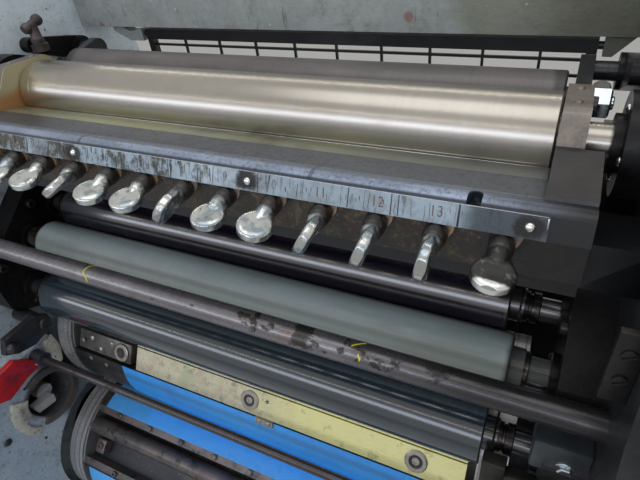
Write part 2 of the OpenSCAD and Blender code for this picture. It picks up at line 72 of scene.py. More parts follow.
class Wire:
    """A socket in a material's nodes. Arithmetic on it adds Math nodes."""

    def __init__(self, tree, socket=None):
        self.tree, self.socket = tree, socket

    def node(self, kind, settings=None, inputs=None, output=0):
        """Adds a node: its settings first, then the values or links of its sockets."""
        made = self.tree.nodes.new(kind)
        for key, value in (settings or {}).items():
            setattr(made, key, value)
        for key, value in (inputs or {}).items():
            if isinstance(value, Wire):
                self.tree.links.new(value.socket, made.inputs[key])
            elif isinstance(value, tuple) and len(made.inputs[key].default_value) == 4:
                made.inputs[key].default_value = (*value, 1)
            else:
                made.inputs[key].default_value = value
        return Wire(self.tree, made.outputs[output])

    def maths(self, operation, *values):
        """A Math node on numbers or sockets."""
        return self.node("ShaderNodeMath", {"operation": operation}, dict(enumerate(values)))

    def __add__(self, other):
        return self.maths("ADD", self, other)

    __radd__ = __add__

    def __mul__(self, other):
        return self.maths("MULTIPLY", self, other)

    __rmul__ = __mul__

    def __sub__(self, other):
        return self.maths("SUBTRACT", self, other)

    def __rsub__(self, other):
        return self.maths("SUBTRACT", other, self)

    def plain(self, colour):
        """A socket that gives one colour everywhere."""
        made = self.node("ShaderNodeRGB")
        made.socket.default_value = (*colour, 1)
        return made

    def step(self, low, high):
        """0 at low, 1 at high, and smooth between them; low may be the larger."""
        return self.node("ShaderNodeMapRange", {"interpolation_type": "SMOOTHSTEP"},
                         {"Value": self, "From Min": low, "From Max": high})

    def axis(self, index):
        """X, Y or Z of the places in this socket, in metres."""
        return self.node("ShaderNodeSeparateXYZ", None, {0: self}, index)

    def scaled(self, x, y, z):
        """The places in this socket, stretched along the axes."""
        return self.node("ShaderNodeVectorMath", {"operation": "MULTIPLY"}, {0: self, 1: Vector((x, y, z))})

    def size(self):
        """The number in this socket without its sign."""
        return self.maths("ABSOLUTE", self)

    def either(self, other):
        """The larger of two numbers."""
        return self.maths("MAXIMUM", self, other)

    def distance(self, point):
        """How far the places in this socket are from a point, in metres."""
        return self.node("ShaderNodeVectorMath", {"operation": "DISTANCE"}, {0: self, 1: point}, 1)

    def noise(self, size, detail=4.0, rough=0.55):
        """Noise whose blots are about size metres across."""
        return self.node("ShaderNodeTexNoise", {"noise_dimensions": "3D"},
                         {"Vector": self, "Scale": 0.6 / size, "Detail": detail, "Roughness": rough})

    def specks(self, size, share):
        """1 on round specks scattered about size metres apart; share is how far of that they reach."""
        spot = self.node("ShaderNodeTexVoronoi", None, {"Vector": self, "Scale": 1 / size}, 0)
        return spot.step(share, share * 0.5)

    def blend(self, over, mask, mode="MIX"):
        """This colour with another laid over it where the mask is 1."""
        return self.node("ShaderNodeMix", {"data_type": "RGBA", "blend_type": mode},
                         {0: mask, 6: self, 7: over}, 2)


def machine_finish(name, colour, worn, grime, wear=0.5, dirt=0.5, roughness=0.45, spread=0.3, grain=0.0015,
                   stretch=(1, 1, 1), depth=0.0002, uneven=0.4, metallic=0.0, coat=0.0, marks=None, shine=0.5,
                   mottle=0.8):
    """Paint, casting or steel of a machine in use.

    Worn patches and grime lie over the colour, as far as wear and dirt say, and a grain of the given size in
    metres, with blots of uneven strength, roughens it. marks(place, tone, rough) adds what one piece alone has.
    """
    material = bpy.data.materials.new(name)
    material.use_nodes = True
    tree = material.node_tree
    shader = tree.nodes["Principled BSDF"]
    shader.inputs["Metallic"].default_value = metallic
    shader.inputs["Coat Weight"].default_value = coat
    shader.inputs["Specular IOR Level"].default_value = shine
    shader.inputs["Coat Roughness"].default_value = 0.12
    place = Wire(tree).node("ShaderNodeTexCoord", output="Object")
    patches = place.noise(0.08, 6, 0.62)
    blots = place.noise(0.018, 8, 0.68)
    fine = place.scaled(*stretch).noise(grain, 3)
    worn_mask = patches.step(0.56 - 0.2 * wear, 0.70 - 0.2 * wear)
    grime_mask = (blots * 0.65 + patches * 0.35).step(0.58 - 0.22 * dirt, 0.76 - 0.22 * dirt)
    tone = place.plain(colour).blend(worn, worn_mask * 0.85).blend(grime, grime_mask * 0.85)
    shade = fine * 0.45 + blots * 0.7 + 0.42
    tone = tone.blend(shade, mottle, "MULTIPLY")
    rough = blots * spread + patches * (spread * 0.5) + (roughness - spread * 0.75)
    if marks:
        tone, rough = marks(place, tone, rough)
    tree.links.new(tone.socket, shader.inputs["Base Color"])
    tree.links.new(rough.socket, shader.inputs["Roughness"])
    height = fine * (1 - uneven) + blots * (4 * uneven)
    bump = place.node("ShaderNodeBump", None, {"Strength": 0.7, "Distance": depth, "Height": height})
    tree.links.new(bump.socket, shader.inputs["Normal"])
    return material


def at(x, y, z):
    """A place given in mm from the middle of the line of the key shafts."""
    return Vector((x, y + shaft_line[0], z + shaft_line[1])) / 1000


def seat(place, facing, up=(0, 0, 1)):
    """A seat on a face, in mm: its z is the face's normal, and its y is nearest to up."""
    z = Vector(facing).normalized()
    x = Vector(up).cross(z).normalized()
    axes = Matrix((x, z.cross(x), z)).transposed().to_4x4()
    return Matrix.Translation(at(*place)) @ axes @ Matrix.Scale(0.001, 4)


def settled(form, place, finish):
    """A form with its faces outwards, in one finish, moved to its place."""
    bmesh.ops.recalc_face_normals(form, faces=form.faces)
    for face in form.faces:
        face.material_index = finish
    form.transform(place)
    return form


def turned(place, profile, steps=32, finish=0):
    """A profile of (radius, height) spun about the seat's z."""
    form = bmesh.new()
    line = [form.verts.new((r, 0, h)) for r, h in profile]
    edges = [form.edges.new(pair) for pair in zip(line, line[1:])]
    bmesh.ops.spin(form, geom=line + edges, axis=(0, 0, 1), cent=(0, 0, 0), angle=math.tau,
                   steps=steps, use_merge=True)
    bmesh.ops.remove_doubles(form, verts=form.verts, dist=0.001)
    return settled(form, place, finish)


def piece(name, body, materials, forms, smooth=32):
    """Joins forms into one named piece that rides on a body; edges sharper than smooth, in degrees, stay."""
    whole = bmesh.new()
    for form in forms:
        part = bpy.data.meshes.new("part")
        form.to_mesh(part)
        form.free()
        whole.from_mesh(part)
        bpy.data.meshes.remove(part)
    mesh = bpy.data.meshes.new(name)
    whole.to_mesh(mesh)
    whole.free()
    mesh.shade_smooth()
    mesh.set_sharp_from_angle(angle=math.radians(smooth))
    for material in materials:
        mesh.materials.append(material)
    made = bpy.data.objects.new(name, mesh)
    scene.collection.objects.link(made)
    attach(made, body)
    return made


def key_marks(place, tone, rough):
    along = place.axis(1)
    neck = (along + place.noise(0.004, 5) * 0.012).step(-0.0775, -0.0675)
    pits = place.specks(0.0046, 0.10)
    # Blue-grey patches on the plating stand in for its dark reflections: a painted reflection.
    reflection_patch = place.noise(0.009, 4, 0.6).step(0.45, 0.60)
    stain = place.noise(0.005, 6, 0.7).step(0.56, 0.66)
    tone = tone.blend((0.22, 0.28, 0.33), reflection_patch * 0.75).blend((0.06, 0.056, 0.052), stain * 0.65)
    tone = tone.blend((0.045, 0.038, 0.033), neck * 0.9).blend((0.03, 0.028, 0.025), pits * 0.8)
    last = place.axis(0).step(0.2425, 0.2435) * place.axis(0).step(0.2735, 0.2725)
    band = place.noise(0.006, 3).step(0.5, 0.6) * along.step(-0.0790, -0.0775) * along.step(-0.0735, -0.0750)
    tone = tone.blend((0.55, 0.05, 0.04), last * band * 0.8)
    return tone, rough + neck * 0.15 + stain * 0.15 + pits * 0.2 + reflection_patch * 0.05


def greasy_marks(place, tone, rough):
    return tone.blend((0.10, 0.065, 0.045), place.noise(0.006, 6, 0.7).step(0.58, 0.68) * 0.6), rough


key_zinc = machine_finish("key_zinc", (0.60, 0.62, 0.60), (0.46, 0.51, 0.54), (0.28, 0.27, 0.25), dirt=0.35,
                          roughness=0.22, spread=0.12, grain=0.008, depth=0.00006, uneven=0.04, metallic=0.92,
                          marks=key_marks)


def dark_key_marks(place, tone, rough):
    rub = (place.axis(1) + place.noise(0.004, 5) * 0.006).step(-0.0985, -0.1010)
    pale = place.noise(0.006, 5, 0.65).step(0.56, 0.66)
    return tone.blend((0.22, 0.23, 0.23), pale * 0.5).blend((0.76, 0.78, 0.76), rub * 0.9), rough - rub * 0.1


key_dark = machine_finish("key_dark", (0.050, 0.050, 0.050), (0.085, 0.085, 0.083), (0.016, 0.015, 0.014), dirt=0.6,
                          roughness=0.36, spread=0.2, grain=0.005, depth=0.00015, uneven=0.15, metallic=0.7,
                          marks=dark_key_marks)
key_sleeve = machine_finish("key_sleeve", (0.022, 0.019, 0.017), (0.05, 0.042, 0.036), (0.010, 0.009, 0.008),
                            dirt=0.6, roughness=0.34, spread=0.25, grain=0.002, marks=greasy_marks)
key_facet = machine_finish("key_facet", (0.34, 0.35, 0.33), (0.24, 0.25, 0.24), (0.10, 0.095, 0.09), dirt=0.4,
                           roughness=0.42, grain=0.0012, depth=0.0003, uneven=0.3, metallic=0.7)


def paddle(place, rest, stubby, ground):
    """The paddle, as a loft of rings across its long axis: a round shank that flattens to a chamfered drop.

    rest is its turn, which gives the side that the tip was ground from, to the depth of ground in mm.
    """
    start, foot, tip = 12.0, 15.0, 48.5
    wide, shank, flat = 14.6, 8.0, 4.8
    middle, cone = tip - wide, 29.0 if stubby else 39.0
    lean = math.asin((wide - shank) / (middle - foot))
    meet = middle - wide * math.sin(lean)
    rise = Vector((math.sin(rest) * 0.45, math.cos(rest) * 0.45, 0.89))
    slices, across = 60, 28
    form = bmesh.new()
    rings = []
    for i in range(slices + 1):
        z = start + (tip - 0.02 - start) * (1 - (1 - i / slices) ** 1.5)
        if z > meet:
            half = math.sqrt(wide * wide - (z - middle) ** 2)
        else:
            half = shank + (wide * math.cos(lean) - shank) * max(0.0, (z - foot) / (meet - foot)) ** 1.25
        rim = 2.0 * max(0.0, min(1.0, (half - shank) / 4)) if z < middle else 2.0
        run = max(0.0, z - 17) / (cone - 17)
        if stubby:
            swell = math.sqrt(max(0.0, 1 - run ** 10)) * (1 - 0.12 * run) if run < 1 else 0.0
        else:
            swell = 1 - 0.62 * run ** 0.8 if run < 1 else 0.0
        ring = []
        for side in (1, -1):
            for j in range(across + 1):
                x = side * half * math.cos(math.pi * j / across)
                inward = wide - math.hypot(x, z - middle) if z > meet else (half - abs(x)) * math.cos(lean)
                slope = rim + math.sqrt(max(0.0, inward) * 2.6)
                mix = max(0.0, min(1.0, 0.5 + (slope - flat) / 2.4))
                y = slope * (1 - mix) + flat * mix - 1.2 * mix * (1 - mix)
                y = max(y, math.sqrt(max(0.0, (shank * swell) ** 2 - x * x)))
                ring.append(form.verts.new((x, side * y, z)))
        rings.append(ring)
    count = 2 * (across + 1)
    for low, high in zip(rings, rings[1:]):
        for j in range(count):
            form.faces.new((low[j], low[(j + 1) % count], high[(j + 1) % count], high[j]))
    form.faces.new(rings[0][::-1])
    form.faces.new(rings[-1])
    centre = Vector((0, 0, middle))
    reach = wide - ground
    for vert in form.verts:
        over = (vert.co - centre).dot(rise) - reach
        if over > 0:
            vert.co -= rise * over
    bmesh.ops.remove_doubles(form, verts=form.verts, dist=0.002)
    settled(form, Matrix.Identity(4), 0)
    for made in form.faces:
        if abs((made.calc_center_median() - centre).dot(rise) - reach) < 0.03:
            made.material_index = 2
    form.transform(place)
    return form


def on_key_line(x):
    """A seat on the line of the key shafts, facing along them to the paddles."""
    return seat((x, 0, 0), (0, -math.cos(key_lean), -math.sin(key_lean)))


sleeve_line = [(5, 3), (8.2, 3), (8.9, 4), (9.0, 8), (8.8, 11.5), (8.2, 13.6), (7.2, 14.6), (5, 14.8)]
shank_line = [(0, -29), (4.6, -29), (5, -28), (5, 14), (0, 14)]
for k, (x, rest) in enumerate(zip(key_x, map(math.radians, paddle_rest)), 1):
    shaft = on_key_line(x)
    ground = 1.3 if k in deep_ground_keys else 0.6
    drop = paddle(shaft @ Matrix.Rotation(rest, 4, "Z"), rest, k in stubby_keys, ground)
    sleeve, shank = turned(shaft, sleeve_line, 36, 1), turned(shaft, shank_line, 24, 1)
    finish = key_dark if k == dark_key else key_zinc
    key = piece(f"ink_key_{k}_shape", f"ink_key_{k}", [finish, key_sleeve, key_facet],
                [drop, sleeve, shank], 42)
    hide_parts(f"ink_key_{k}")

# Scale strip: a dull steel strip under the nose of the fountain, engraved with ticks and key numbers.
# Four domed screws hold it, each in a dark ring of old ink, and ink has run over it in streaks.
# Pale slivers along its top edge and up its right end are painted highlights.
strip_lean = math.radians(21)
strip_face = (0, -math.cos(strip_lean), math.sin(strip_lean))
strip_up = (0, math.sin(strip_lean), math.cos(strip_lean))
strip_length, strip_width, strip_out = 638, 16.6, 1.2
strip_screws_x = (-312, -111, 91, 308)
brown_numbers = (11, 12, 13)


def dress(material, slot, *names):
    """Gives CAD nodes their material; the slot argument is not used."""
    for name in names:
        nodes[name].data.materials.clear()
        nodes[name].data.materials.append(material)


def bevelled(form, edges, width):
    """Rounds edges of a form."""
    bmesh.ops.bevel(form, geom=edges, offset=width, segments=2, profile=0.5, affect="EDGES", material=-1)


def block(place, size, bevel=1.0, finish=0):
    """A block standing on its seat."""
    form = bmesh.new()
    standing = Matrix.Translation((0, 0, size[2] / 2)) @ Matrix.Diagonal((*size, 1))
    bmesh.ops.create_cube(form, size=1, matrix=standing)
    bevelled(form, form.edges[:], bevel)
    return settled(form, place, finish)


def dome_screw(place, r, h, finish=0):
    """A domed head."""
    curve = [(r * math.sin(a), h * math.cos(a)) for a in (i * math.pi / 14 for i in range(8))]
    return turned(place, curve + [(r, -1)], 24, finish)


def on_strip(x, up, out=strip_out):
    """A seat on the strip, up from its lower edge and out from its back."""
    foot = Vector((x, -5, 8.2)) + Vector(strip_up) * up + Vector(strip_face) * out
    return seat(foot, strip_face)


def strip_marks(place, tone, rough):
    runs = place.scaled(1, 0.2, 0.2).noise(0.004, 6, 0.7).step(0.54, 0.62)
    film = place.scaled(1, 0.8, 0.8).noise(0.012, 7, 0.72).step(0.48, 0.58)
    haze = place.scaled(1, 0.5, 0.5).noise(0.035, 5, 0.6).step(0.44, 0.60)
    cream = place.scaled(1, 0.8, 0.8).noise(0.012, 5, 0.62).step(0.52, 0.62)
    left = (place.axis(0) + place.noise(0.05, 4) * 0.1).step(0.17, 0.06)
    tone = tone.blend((0.15, 0.17, 0.19), haze * (left * 0.5 + 0.2))
    tone = tone.blend((0.50, 0.47, 0.34), cream * (left * 0.55 + 0.15))
    tone = tone.blend((0.045, 0.045, 0.045), film * (left * 0.65 + 0.25))
    tone = tone.blend((0.035, 0.03, 0.028), runs * (left * 0.4 + 0.45))
    far = (place.axis(0) + place.noise(0.02, 5) * 0.02).step(0.268, 0.284)
    tone = tone.blend((0.045, 0.053, 0.064), far * 0.88)
    lap = place.noise(0.007, 6, 0.7) * 0.014
    for x in strip_screws_x:
        off = place.scaled(0.75, 1, 1).distance(at(x * 0.75, -1, 15.7))
        tone = tone.blend((0.022, 0.022, 0.023), (off + lap).step(0.0175, 0.0130) * 0.95)
    return tone, rough + runs * 0.15


scale_steel = machine_finish("scale_steel", (0.33, 0.41, 0.47), (0.48, 0.57, 0.64), (0.11, 0.115, 0.12),
                             roughness=0.34, spread=0.25, grain=0.0012, stretch=(1, 6, 6), depth=0.0001, uneven=0.3,
                             metallic=0.6, marks=strip_marks)
dress(scale_steel, "scale_steel", "scale_strip")
ink_brown = machine_finish("ink_brown", (0.16, 0.085, 0.08), (0.24, 0.19, 0.19), (0.06, 0.04, 0.04), wear=0.6,
                           roughness=0.5, spread=0.2, grain=0.001)
ink_faint = machine_finish("ink_faint", (0.13, 0.12, 0.125), (0.25, 0.28, 0.30), (0.05, 0.045, 0.045), wear=0.7,
                           roughness=0.5, spread=0.2, grain=0.001)
ink_dark = machine_finish("ink_dark", (0.02, 0.018, 0.018), (0.035, 0.03, 0.03), (0.01, 0.01, 0.01), roughness=0.35,
                          spread=0.25, grain=0.0012)
washer_pale = machine_finish("washer_pale", (0.52, 0.54, 0.56), (0.42, 0.44, 0.46), (0.16, 0.16, 0.16), wear=0.4,
                             roughness=0.3, spread=0.2, grain=0.002, metallic=0.9)
screw_bright = machine_finish("screw_bright", (0.78, 0.78, 0.76), (0.6, 0.6, 0.58), (0.2, 0.19, 0.18), wear=0.4,
                              dirt=0.3, roughness=0.22, spread=0.2, grain=0.002, metallic=0.95)

chance = random.Random(7)
scratches, numbers = [], []
for k, x in enumerate(key_x[:13], 1):
    words = bpy.data.curves.new("number", "FONT")
    words.body, words.size, words.extrude = str(k), 0.0115, 0.00008
    words.align_x, words.align_y = "CENTER", "CENTER"
    words.space_character = 1.15
    letters = bpy.data.objects.new("number", words)
    scene.collection.objects.link(letters)
    drawn = bpy.data.meshes.new_from_object(letters)
    bpy.data.objects.remove(letters)
    bpy.data.curves.remove(words)
    shape = bmesh.new()
    shape.from_mesh(drawn)
    bpy.data.meshes.remove(drawn)
    number_seat = on_strip(x + chance.uniform(-2, 2), 8.4, strip_out + 0.1)
    tilt = Matrix.Rotation(chance.uniform(-0.05, 0.05), 4, "Z")
    shape.transform(number_seat @ tilt @ Matrix.Diagonal((780, 1000, 1000, 1)))
    for face in shape.faces:
        face.material_index = 0 if k in brown_numbers else 1
    numbers.append(shape)
    for i in range(15):
        place = x + (i - 7) * 3 + chance.uniform(-1.2, 1.2)
        tall = chance.choice([3.5, 5, 8, 11, 15])
        wide = chance.choice([0.2, 0.25, 0.35, 0.5, 0.8])
        low = chance.uniform(0.5, strip_width - tall - 0.4)
        clear = abs(place) < strip_length / 2 - 4 and (abs(place - x) > 5 or k not in brown_numbers)
        if clear and chance.random() < 0.6:
            tilt = Matrix.Rotation(chance.uniform(-0.1, 0.1), 4, "Z")
            scratches.append(block(on_strip(place, low + tall / 2) @ tilt, (wide, tall, 0.12), 0.03))
piece("strip_numbers", "press_frame", [ink_brown, ink_faint], numbers)
piece("strip_ticks", "press_frame", [ink_dark], scratches)
piece("strip_screws", "press_frame", [screw_bright],
      [dome_screw(on_strip(x, 8), 3.4, 2.3) for x in strip_screws_x])
# Pale slivers along the strip's top edge and up its right end: painted highlights on those edges.
rim = [block(on_strip(0, strip_width - 0.25, 1.15), (strip_length - 2, 0.45, 0.25), 0.1),
       block(on_strip(strip_length / 2 - 0.8, strip_width - 4.5, 1.15), (0.9, 7, 0.35), 0.1)]
piece("strip_edge_highlights", "press_frame", [washer_pale], rim)
scribes = ((214, 0.8), (219.4, 0.7), (262.3, 1.4), (97, 0.5), (101, 0.5), (-60, 0.5), (8, 0.6), (11, 0.5))
scribed = [block(on_strip(x, strip_width / 2), (wide, strip_width - 0.6, 0.14), 0.03) for x, wide in scribes]
piece("strip_scribes", "press_frame", [ink_dark], scribed)

# Key rail: the rusty cast face that the keys pass through, oily and flaking, with a small steel
# wedge beside each boss, under the strip, and a black collar round each shaft.


def plate(place, outline, thick, bevel=0.6):
    """An outline raised from its seat, with its upper edge rounded."""
    form = bmesh.new()
    face = form.faces.new([form.verts.new((x, y, 0)) for x, y in outline])
    raised = bmesh.ops.extrude_face_region(form, geom=[face])["geom"]
    upper = [vert for vert in raised if isinstance(vert, bmesh.types.BMVert)]
    bmesh.ops.translate(form, vec=(0, 0, thick), verts=upper)
    bevelled(form, [edge for edge in form.edges if all(v.co.z > thick / 2 for v in edge.verts)], bevel)
    return settled(form, place, 0)


def rail_marks(place, tone, rough):
    rust = place.noise(0.0045, 8, 0.8).step(0.50, 0.60)
    moss = place.noise(0.012, 6, 0.7).step(0.54, 0.64)
    wet = place.noise(0.011, 8, 0.75).step(0.44, 0.56)
    right = (place.axis(0) + place.noise(0.02, 5) * 0.03).step(0.285, 0.305)
    tone = tone.blend((0.17, 0.115, 0.070), rust * 0.8).blend((0.085, 0.095, 0.060), moss * 0.5)
    tone = tone.blend((0.013, 0.011, 0.010), wet * 0.88).blend((0.006, 0.006, 0.006), right * 0.96)
    return tone, rough + rust * 0.2 - wet * 0.15


rusty_rail = machine_finish("rusty_rail", (0.030, 0.022, 0.018), (0.068, 0.046, 0.030), (0.010, 0.008, 0.007),
                            dirt=0.6, roughness=0.42, grain=0.0012, depth=0.0008, uneven=0.5, marks=rail_marks)
dress(rusty_rail, "rusty_rail", "key_rail")
wedge_steel = machine_finish("wedge_steel", (0.42, 0.30, 0.22), (0.38, 0.36, 0.34), (0.06, 0.05, 0.04),
                             roughness=0.4, grain=0.002, metallic=0.6)
wedge_right, wedge_line = 9.5, [(-1.5, -7), (1.8, -2), (3.6, 4.6), (-3, 4.6)]
piece("rail_wedges", "press_frame", [wedge_steel],
      [plate(seat((x + wedge_right, 0, 2), (0, -1, 0)), wedge_line, 2.4, 0.4) for x in key_x])
rail_collar_line = [(5.3, 2.6), (7.6, 2.6), (8.6, 1.9), (9.0, 0.6), (9.0, -0.5)]
piece("rail_collars", "press_frame", [key_sleeve],
      [turned(on_key_line(x), rail_collar_line, 28) for x in key_x])

# Fountain casting: the ground blue-grey nose in front of the blade, with a wet film and fine
# corrosion, going black towards its right end. A paler blue band along the rounded nose is a painted
# highlight, and the lip above the strip and the underside carry painted shade. A merged copy of its
# solid shades smoothly.


def casting_marks(place, tone, rough):
    x, y, z = place.axis(0), place.axis(1), place.axis(2)
    pitting = place.noise(0.0025, 6, 0.8).step(0.50, 0.64)
    rust = place.noise(0.03, 6, 0.7).step(0.52, 0.68) * pitting
    scratch = place.scaled(1, 0.1, 0.1).noise(0.005, 4, 0.6).step(0.65, 0.70)
    patch = place.noise(0.05, 5, 0.6).step(0.35, 0.65)
    # A paler blue band along the rounded nose: a painted highlight.
    nose_highlight = y.step(-0.0590, -0.0560) * (y + place.noise(0.01, 4) * 0.004).step(-0.0420, -0.0500)
    top, front = y.step(-0.0440, -0.0410), y.step(-0.0410, -0.0440)
    tone = tone.blend((0.10, 0.075, 0.075), rust * 0.7).blend((0.040, 0.046, 0.060), pitting * 0.55)
    tone = tone.blend((0.27, 0.33, 0.41), top * (patch * 0.4 + 0.2))
    tone = tone.blend((0.33, 0.39, 0.52), nose_highlight * (patch * 0.5 + 0.35)).blend((0.03, 0.03, 0.03), scratch * 0.6)
    grain = place.noise(0.0018, 6, 0.8).step(0.50, 0.60) * (x + place.noise(0.04, 5) * 0.2).step(-0.10, 0.15)
    tone = tone.blend((0.085, 0.10, 0.135), grain * 0.65)
    right = (x + place.noise(0.03, 5) * 0.04).step(0.275, 0.325) * front
    tone = tone.blend((0.045, 0.052, 0.068), right * 0.8)
    black_right_end = (x + place.noise(0.05, 6, 0.65) * 0.06).step(0.335, 0.375)
    # The lip above the strip and the underside below it are darkened: painted shade.
    lip_shade = (z + place.noise(0.02, 4) * 0.0008).step(1.1763, 1.1752)
    end = x.step(0.3165, 0.3185) * (z + place.noise(0.006, 4) * 0.003).step(1.1790, 1.1750)
    low = (z + place.noise(0.01, 4) * 0.003).step(1.1705, 1.1650)
    black_end_and_shade = black_right_end.either(end).either(low.either(lip_shade * 0.75))
    return tone.blend((0.010, 0.010, 0.011), black_end_and_shade * 0.97), rough + pitting * 0.12 + black_right_end * 0.05


casting_steel = machine_finish("casting_steel", (0.120, 0.160, 0.225), (0.180, 0.225, 0.300), (0.065, 0.082, 0.115),
                               roughness=0.32, spread=0.15, grain=0.0022, depth=0.00012, uneven=0.08, metallic=0.3,
                               marks=casting_marks)
casting = bmesh.new()
casting.from_mesh(nodes["fountain_casting"].data)
bmesh.ops.remove_doubles(casting, verts=casting.verts, dist=0.00001)
casting_shape = piece("fountain_casting_shape", "press_frame", [casting_steel], [casting], 25)
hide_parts("fountain_casting")

# Fountain blade: thin spring steel whose upper face is filmed yellow-green, with a bright edge
# that nearly touches the fountain roller.


def blade_marks(place, tone, rough):
    blue = place.noise(0.05, 4).step(0.52, 0.66)
    lines = place.scaled(1, 0.08, 0.08).noise(0.008, 3).step(0.68, 0.72)
    right = (place.axis(0) + place.noise(0.06, 5) * 0.2).step(0.12, 0.36)
    tone = tone.blend((0.30, 0.33, 0.30), blue * 0.6).blend((0.16, 0.17, 0.17), right * 0.8)
    return tone.blend((0.10, 0.10, 0.08), lines * 0.7), rough


blade_steel = machine_finish("blade_steel", (0.36, 0.37, 0.22), (0.30, 0.31, 0.21), (0.12, 0.12, 0.08),
                             roughness=0.36, spread=0.25, grain=0.0016, stretch=(1, 4, 4), uneven=0.3, metallic=0.6,
                             marks=blade_marks)
dress(blade_steel, "blade_steel", "fountain_blade")
blade_slope = math.radians(14.3)
blade_back, blade_long = Vector((0, 61.96, 14.48)), 33.6
blade_tip = blade_back + Vector((0, math.cos(blade_slope), -math.sin(blade_slope))) * blade_long
on_edge = seat(blade_tip + Vector((0, 0.1, 0.02)), (0, math.sin(blade_slope), math.cos(blade_slope)))
piece("blade_edge", "press_frame", [screw_bright], [block(on_edge, (622, 1.1, 0.3), 0.1)])

# Fountain cheeks: thick plates that close the trough, brown with old varnish, each held by three
# socket screws from outside, with two domed screws on its top. The left one's polished inner face is
# painted tan, orange towards its foot, as a painted reflection of the roller.


def socket_screw(place, r, h):
    """A cap screw's round head with its socket."""
    socket = [(0, 0.35 * h), (0.48 * r, 0.35 * h), (0.5 * r, h)]
    return turned(place, socket + [(0.86 * r, h), (r, 0.86 * h), (r, -1)], 24)


def cheek_marks(place, tone, rough):
    x, y, z = place.axis(0), place.axis(1), place.axis(2)
    brown = place.noise(0.025, 6, 0.65).step(0.45, 0.65)
    front = (y + place.noise(0.01, 4) * 0.004).step(0.0190, 0.0165)
    low = (z + place.noise(0.01, 4) * 0.006).step(1.192, 1.184)
    dark = front.either(low) * x.step(0, 0.01)
    tone = tone.blend((0.17, 0.13, 0.11), brown * 0.6)
    tone = tone.blend((0.022, 0.023, 0.026), dark * 0.92)
    # The left cheek's polished inner face is painted tan, orange towards its foot: a painted reflection.
    orange_reflection = (z + place.noise(0.02, 4) * 0.012).step(1.190, 1.176)
    pale = place.plain((0.56, 0.52, 0.36)).blend((0.60, 0.24, 0.06), orange_reflection * 0.75)
    return tone.blend(pale, x.step(-0.20, -0.21) * x.step(-0.3140, -0.3135) * 0.9), rough - low * 0.05


cheek_steel = machine_finish("cheek_steel", (0.17, 0.155, 0.148), (0.26, 0.225, 0.20), (0.07, 0.06, 0.055),
                             dirt=0.4, roughness=0.42, spread=0.25, grain=0.0016, depth=0.0003, uneven=0.3,
                             metallic=0.5, marks=cheek_marks)
dress(cheek_steel, "cheek_steel", "fountain_cheeks")
dark_socket = machine_finish("dark_socket", (0.03, 0.03, 0.032), (0.08, 0.08, 0.085), (0.012, 0.012, 0.012),
                             wear=0.4, roughness=0.32, spread=0.25, grain=0.002, metallic=0.5)
cheek_face, cheek_middle = 332, 322.5
cheek_forms = []
for side in (-1, 1):
    for y, z in ((92, -20), (150, -20), (150, 38)):
        cheek_forms.append(socket_screw(seat((side * cheek_face, y, z), (side, 0, 0)), 6.5, 5))
    for y, z in ((108, 56.3), (140, 54.6)):
        cheek_forms.append(dome_screw(seat((side * cheek_middle, y, z), (0, 0, 1), (0, 1, 0)), 3, 1.6, 1))
piece("cheek_screws", "press_frame", [dark_socket, cheek_steel], cheek_forms)

# Fountain roller: fine turned and polished steel, slightly warm, with a thin ring near its left end.
# Its lower side carries a painted brown reflection, and its left end a painted tan and orange one.


def turned_marks(place, tone, rough):
    x, z = place.axis(0), place.axis(2)
    end = (x + place.noise(0.05, 4) * 0.06).step(-0.215, -0.29)
    low = (z + place.noise(0.01, 4) * 0.01).step(1.172, 1.156)
    rings = place.scaled(1, 0.01, 0.01).noise(0.0011, 5, 0.75)
    # The lower side is browned and the left end turned tan, orange below: painted reflections.
    tone = tone.blend((0.26, 0.21, 0.165), low * 0.35)
    tone = tone.blend((0.50, 0.44, 0.29), end * 0.6).blend((0.55, 0.20, 0.05), end * low * 0.8)
    return tone.blend(rings * 0.08 + 0.95, 0.9, "MULTIPLY"), rough + rings * 0.03


fountain_steel = machine_finish("fountain_steel", (0.41, 0.385, 0.345), (0.39, 0.365, 0.325), (0.36, 0.335, 0.295),
                                dirt=0.35, roughness=0.25, spread=0.02, grain=0.0009, stretch=(1, 0.01, 0.01),
                                depth=0.000001, uneven=0.01, metallic=0.9, marks=turned_marks, mottle=0.25)
dress(fountain_steel, "fountain_steel", "fountain_roller")
fountain_middle = (133.7, 13.4)
ring_x, shaft_end = -296, 381
ring_line = [(36.9, 0), (38.25, 0), (38.35, 0.4), (38.35, 1.0), (38.25, 1.4), (36.9, 1.4)]
piece("fountain_roller_ring", "fountain_roller", [fountain_steel],
      [turned(seat((ring_x, *fountain_middle), (1, 0, 0)), ring_line, 64)])
end_screws = [socket_screw(seat((side * shaft_end, *fountain_middle), (side, 0, 0)), 10, 3) for side in (-1, 1)]
piece("fountain_shaft_ends", "fountain_roller", [dark_socket], end_screws)

# Ink rollers: black and green rubber on steel shafts, run smooth, with a film of ink that
# reflects in streaks; their ends are grey where the ink stops. A turned collar sits on each journal.
# Each roller's axis as y and z, and its radius.
train = {"upper_oscillator": (223.82, -47.66, 38), "ink_drum": (169.07, -111.76, 46), "oscillator": (99.6, -150, 33),
         "distributor_roller": (42.84, -173.16, 28), "transfer_roller": (59.12, -220.76, 22),
         "form_roller": (9.15, -242.02, 32)}
shell_end, inked_half = 312, 0.302
film_grain = (1, 0.05, 0.05)


def ink_film(tint, bare):
    """Marks for a shell that is inked from -bare to bare, in metres, and grey beyond."""
    def marks(place, tone, rough):
        x = place.axis(0)
        ends = (x.size() + place.noise(0.02, 4) * 0.01).step(bare, bare + 0.006)
        rings = place.scaled(1, 0.02, 0.02).noise(0.004, 5, 0.7)
        smear = place.scaled(0.25, 1, 1).noise(0.025, 5, 0.6).step(0.48, 0.64)
        tone = tone.blend(tint, smear * 0.6).blend((0.022, 0.021, 0.020), ends * 0.75)
        return tone, rough + rings * 0.12 - 0.05 + smear * 0.08 + ends * 0.15
    return marks


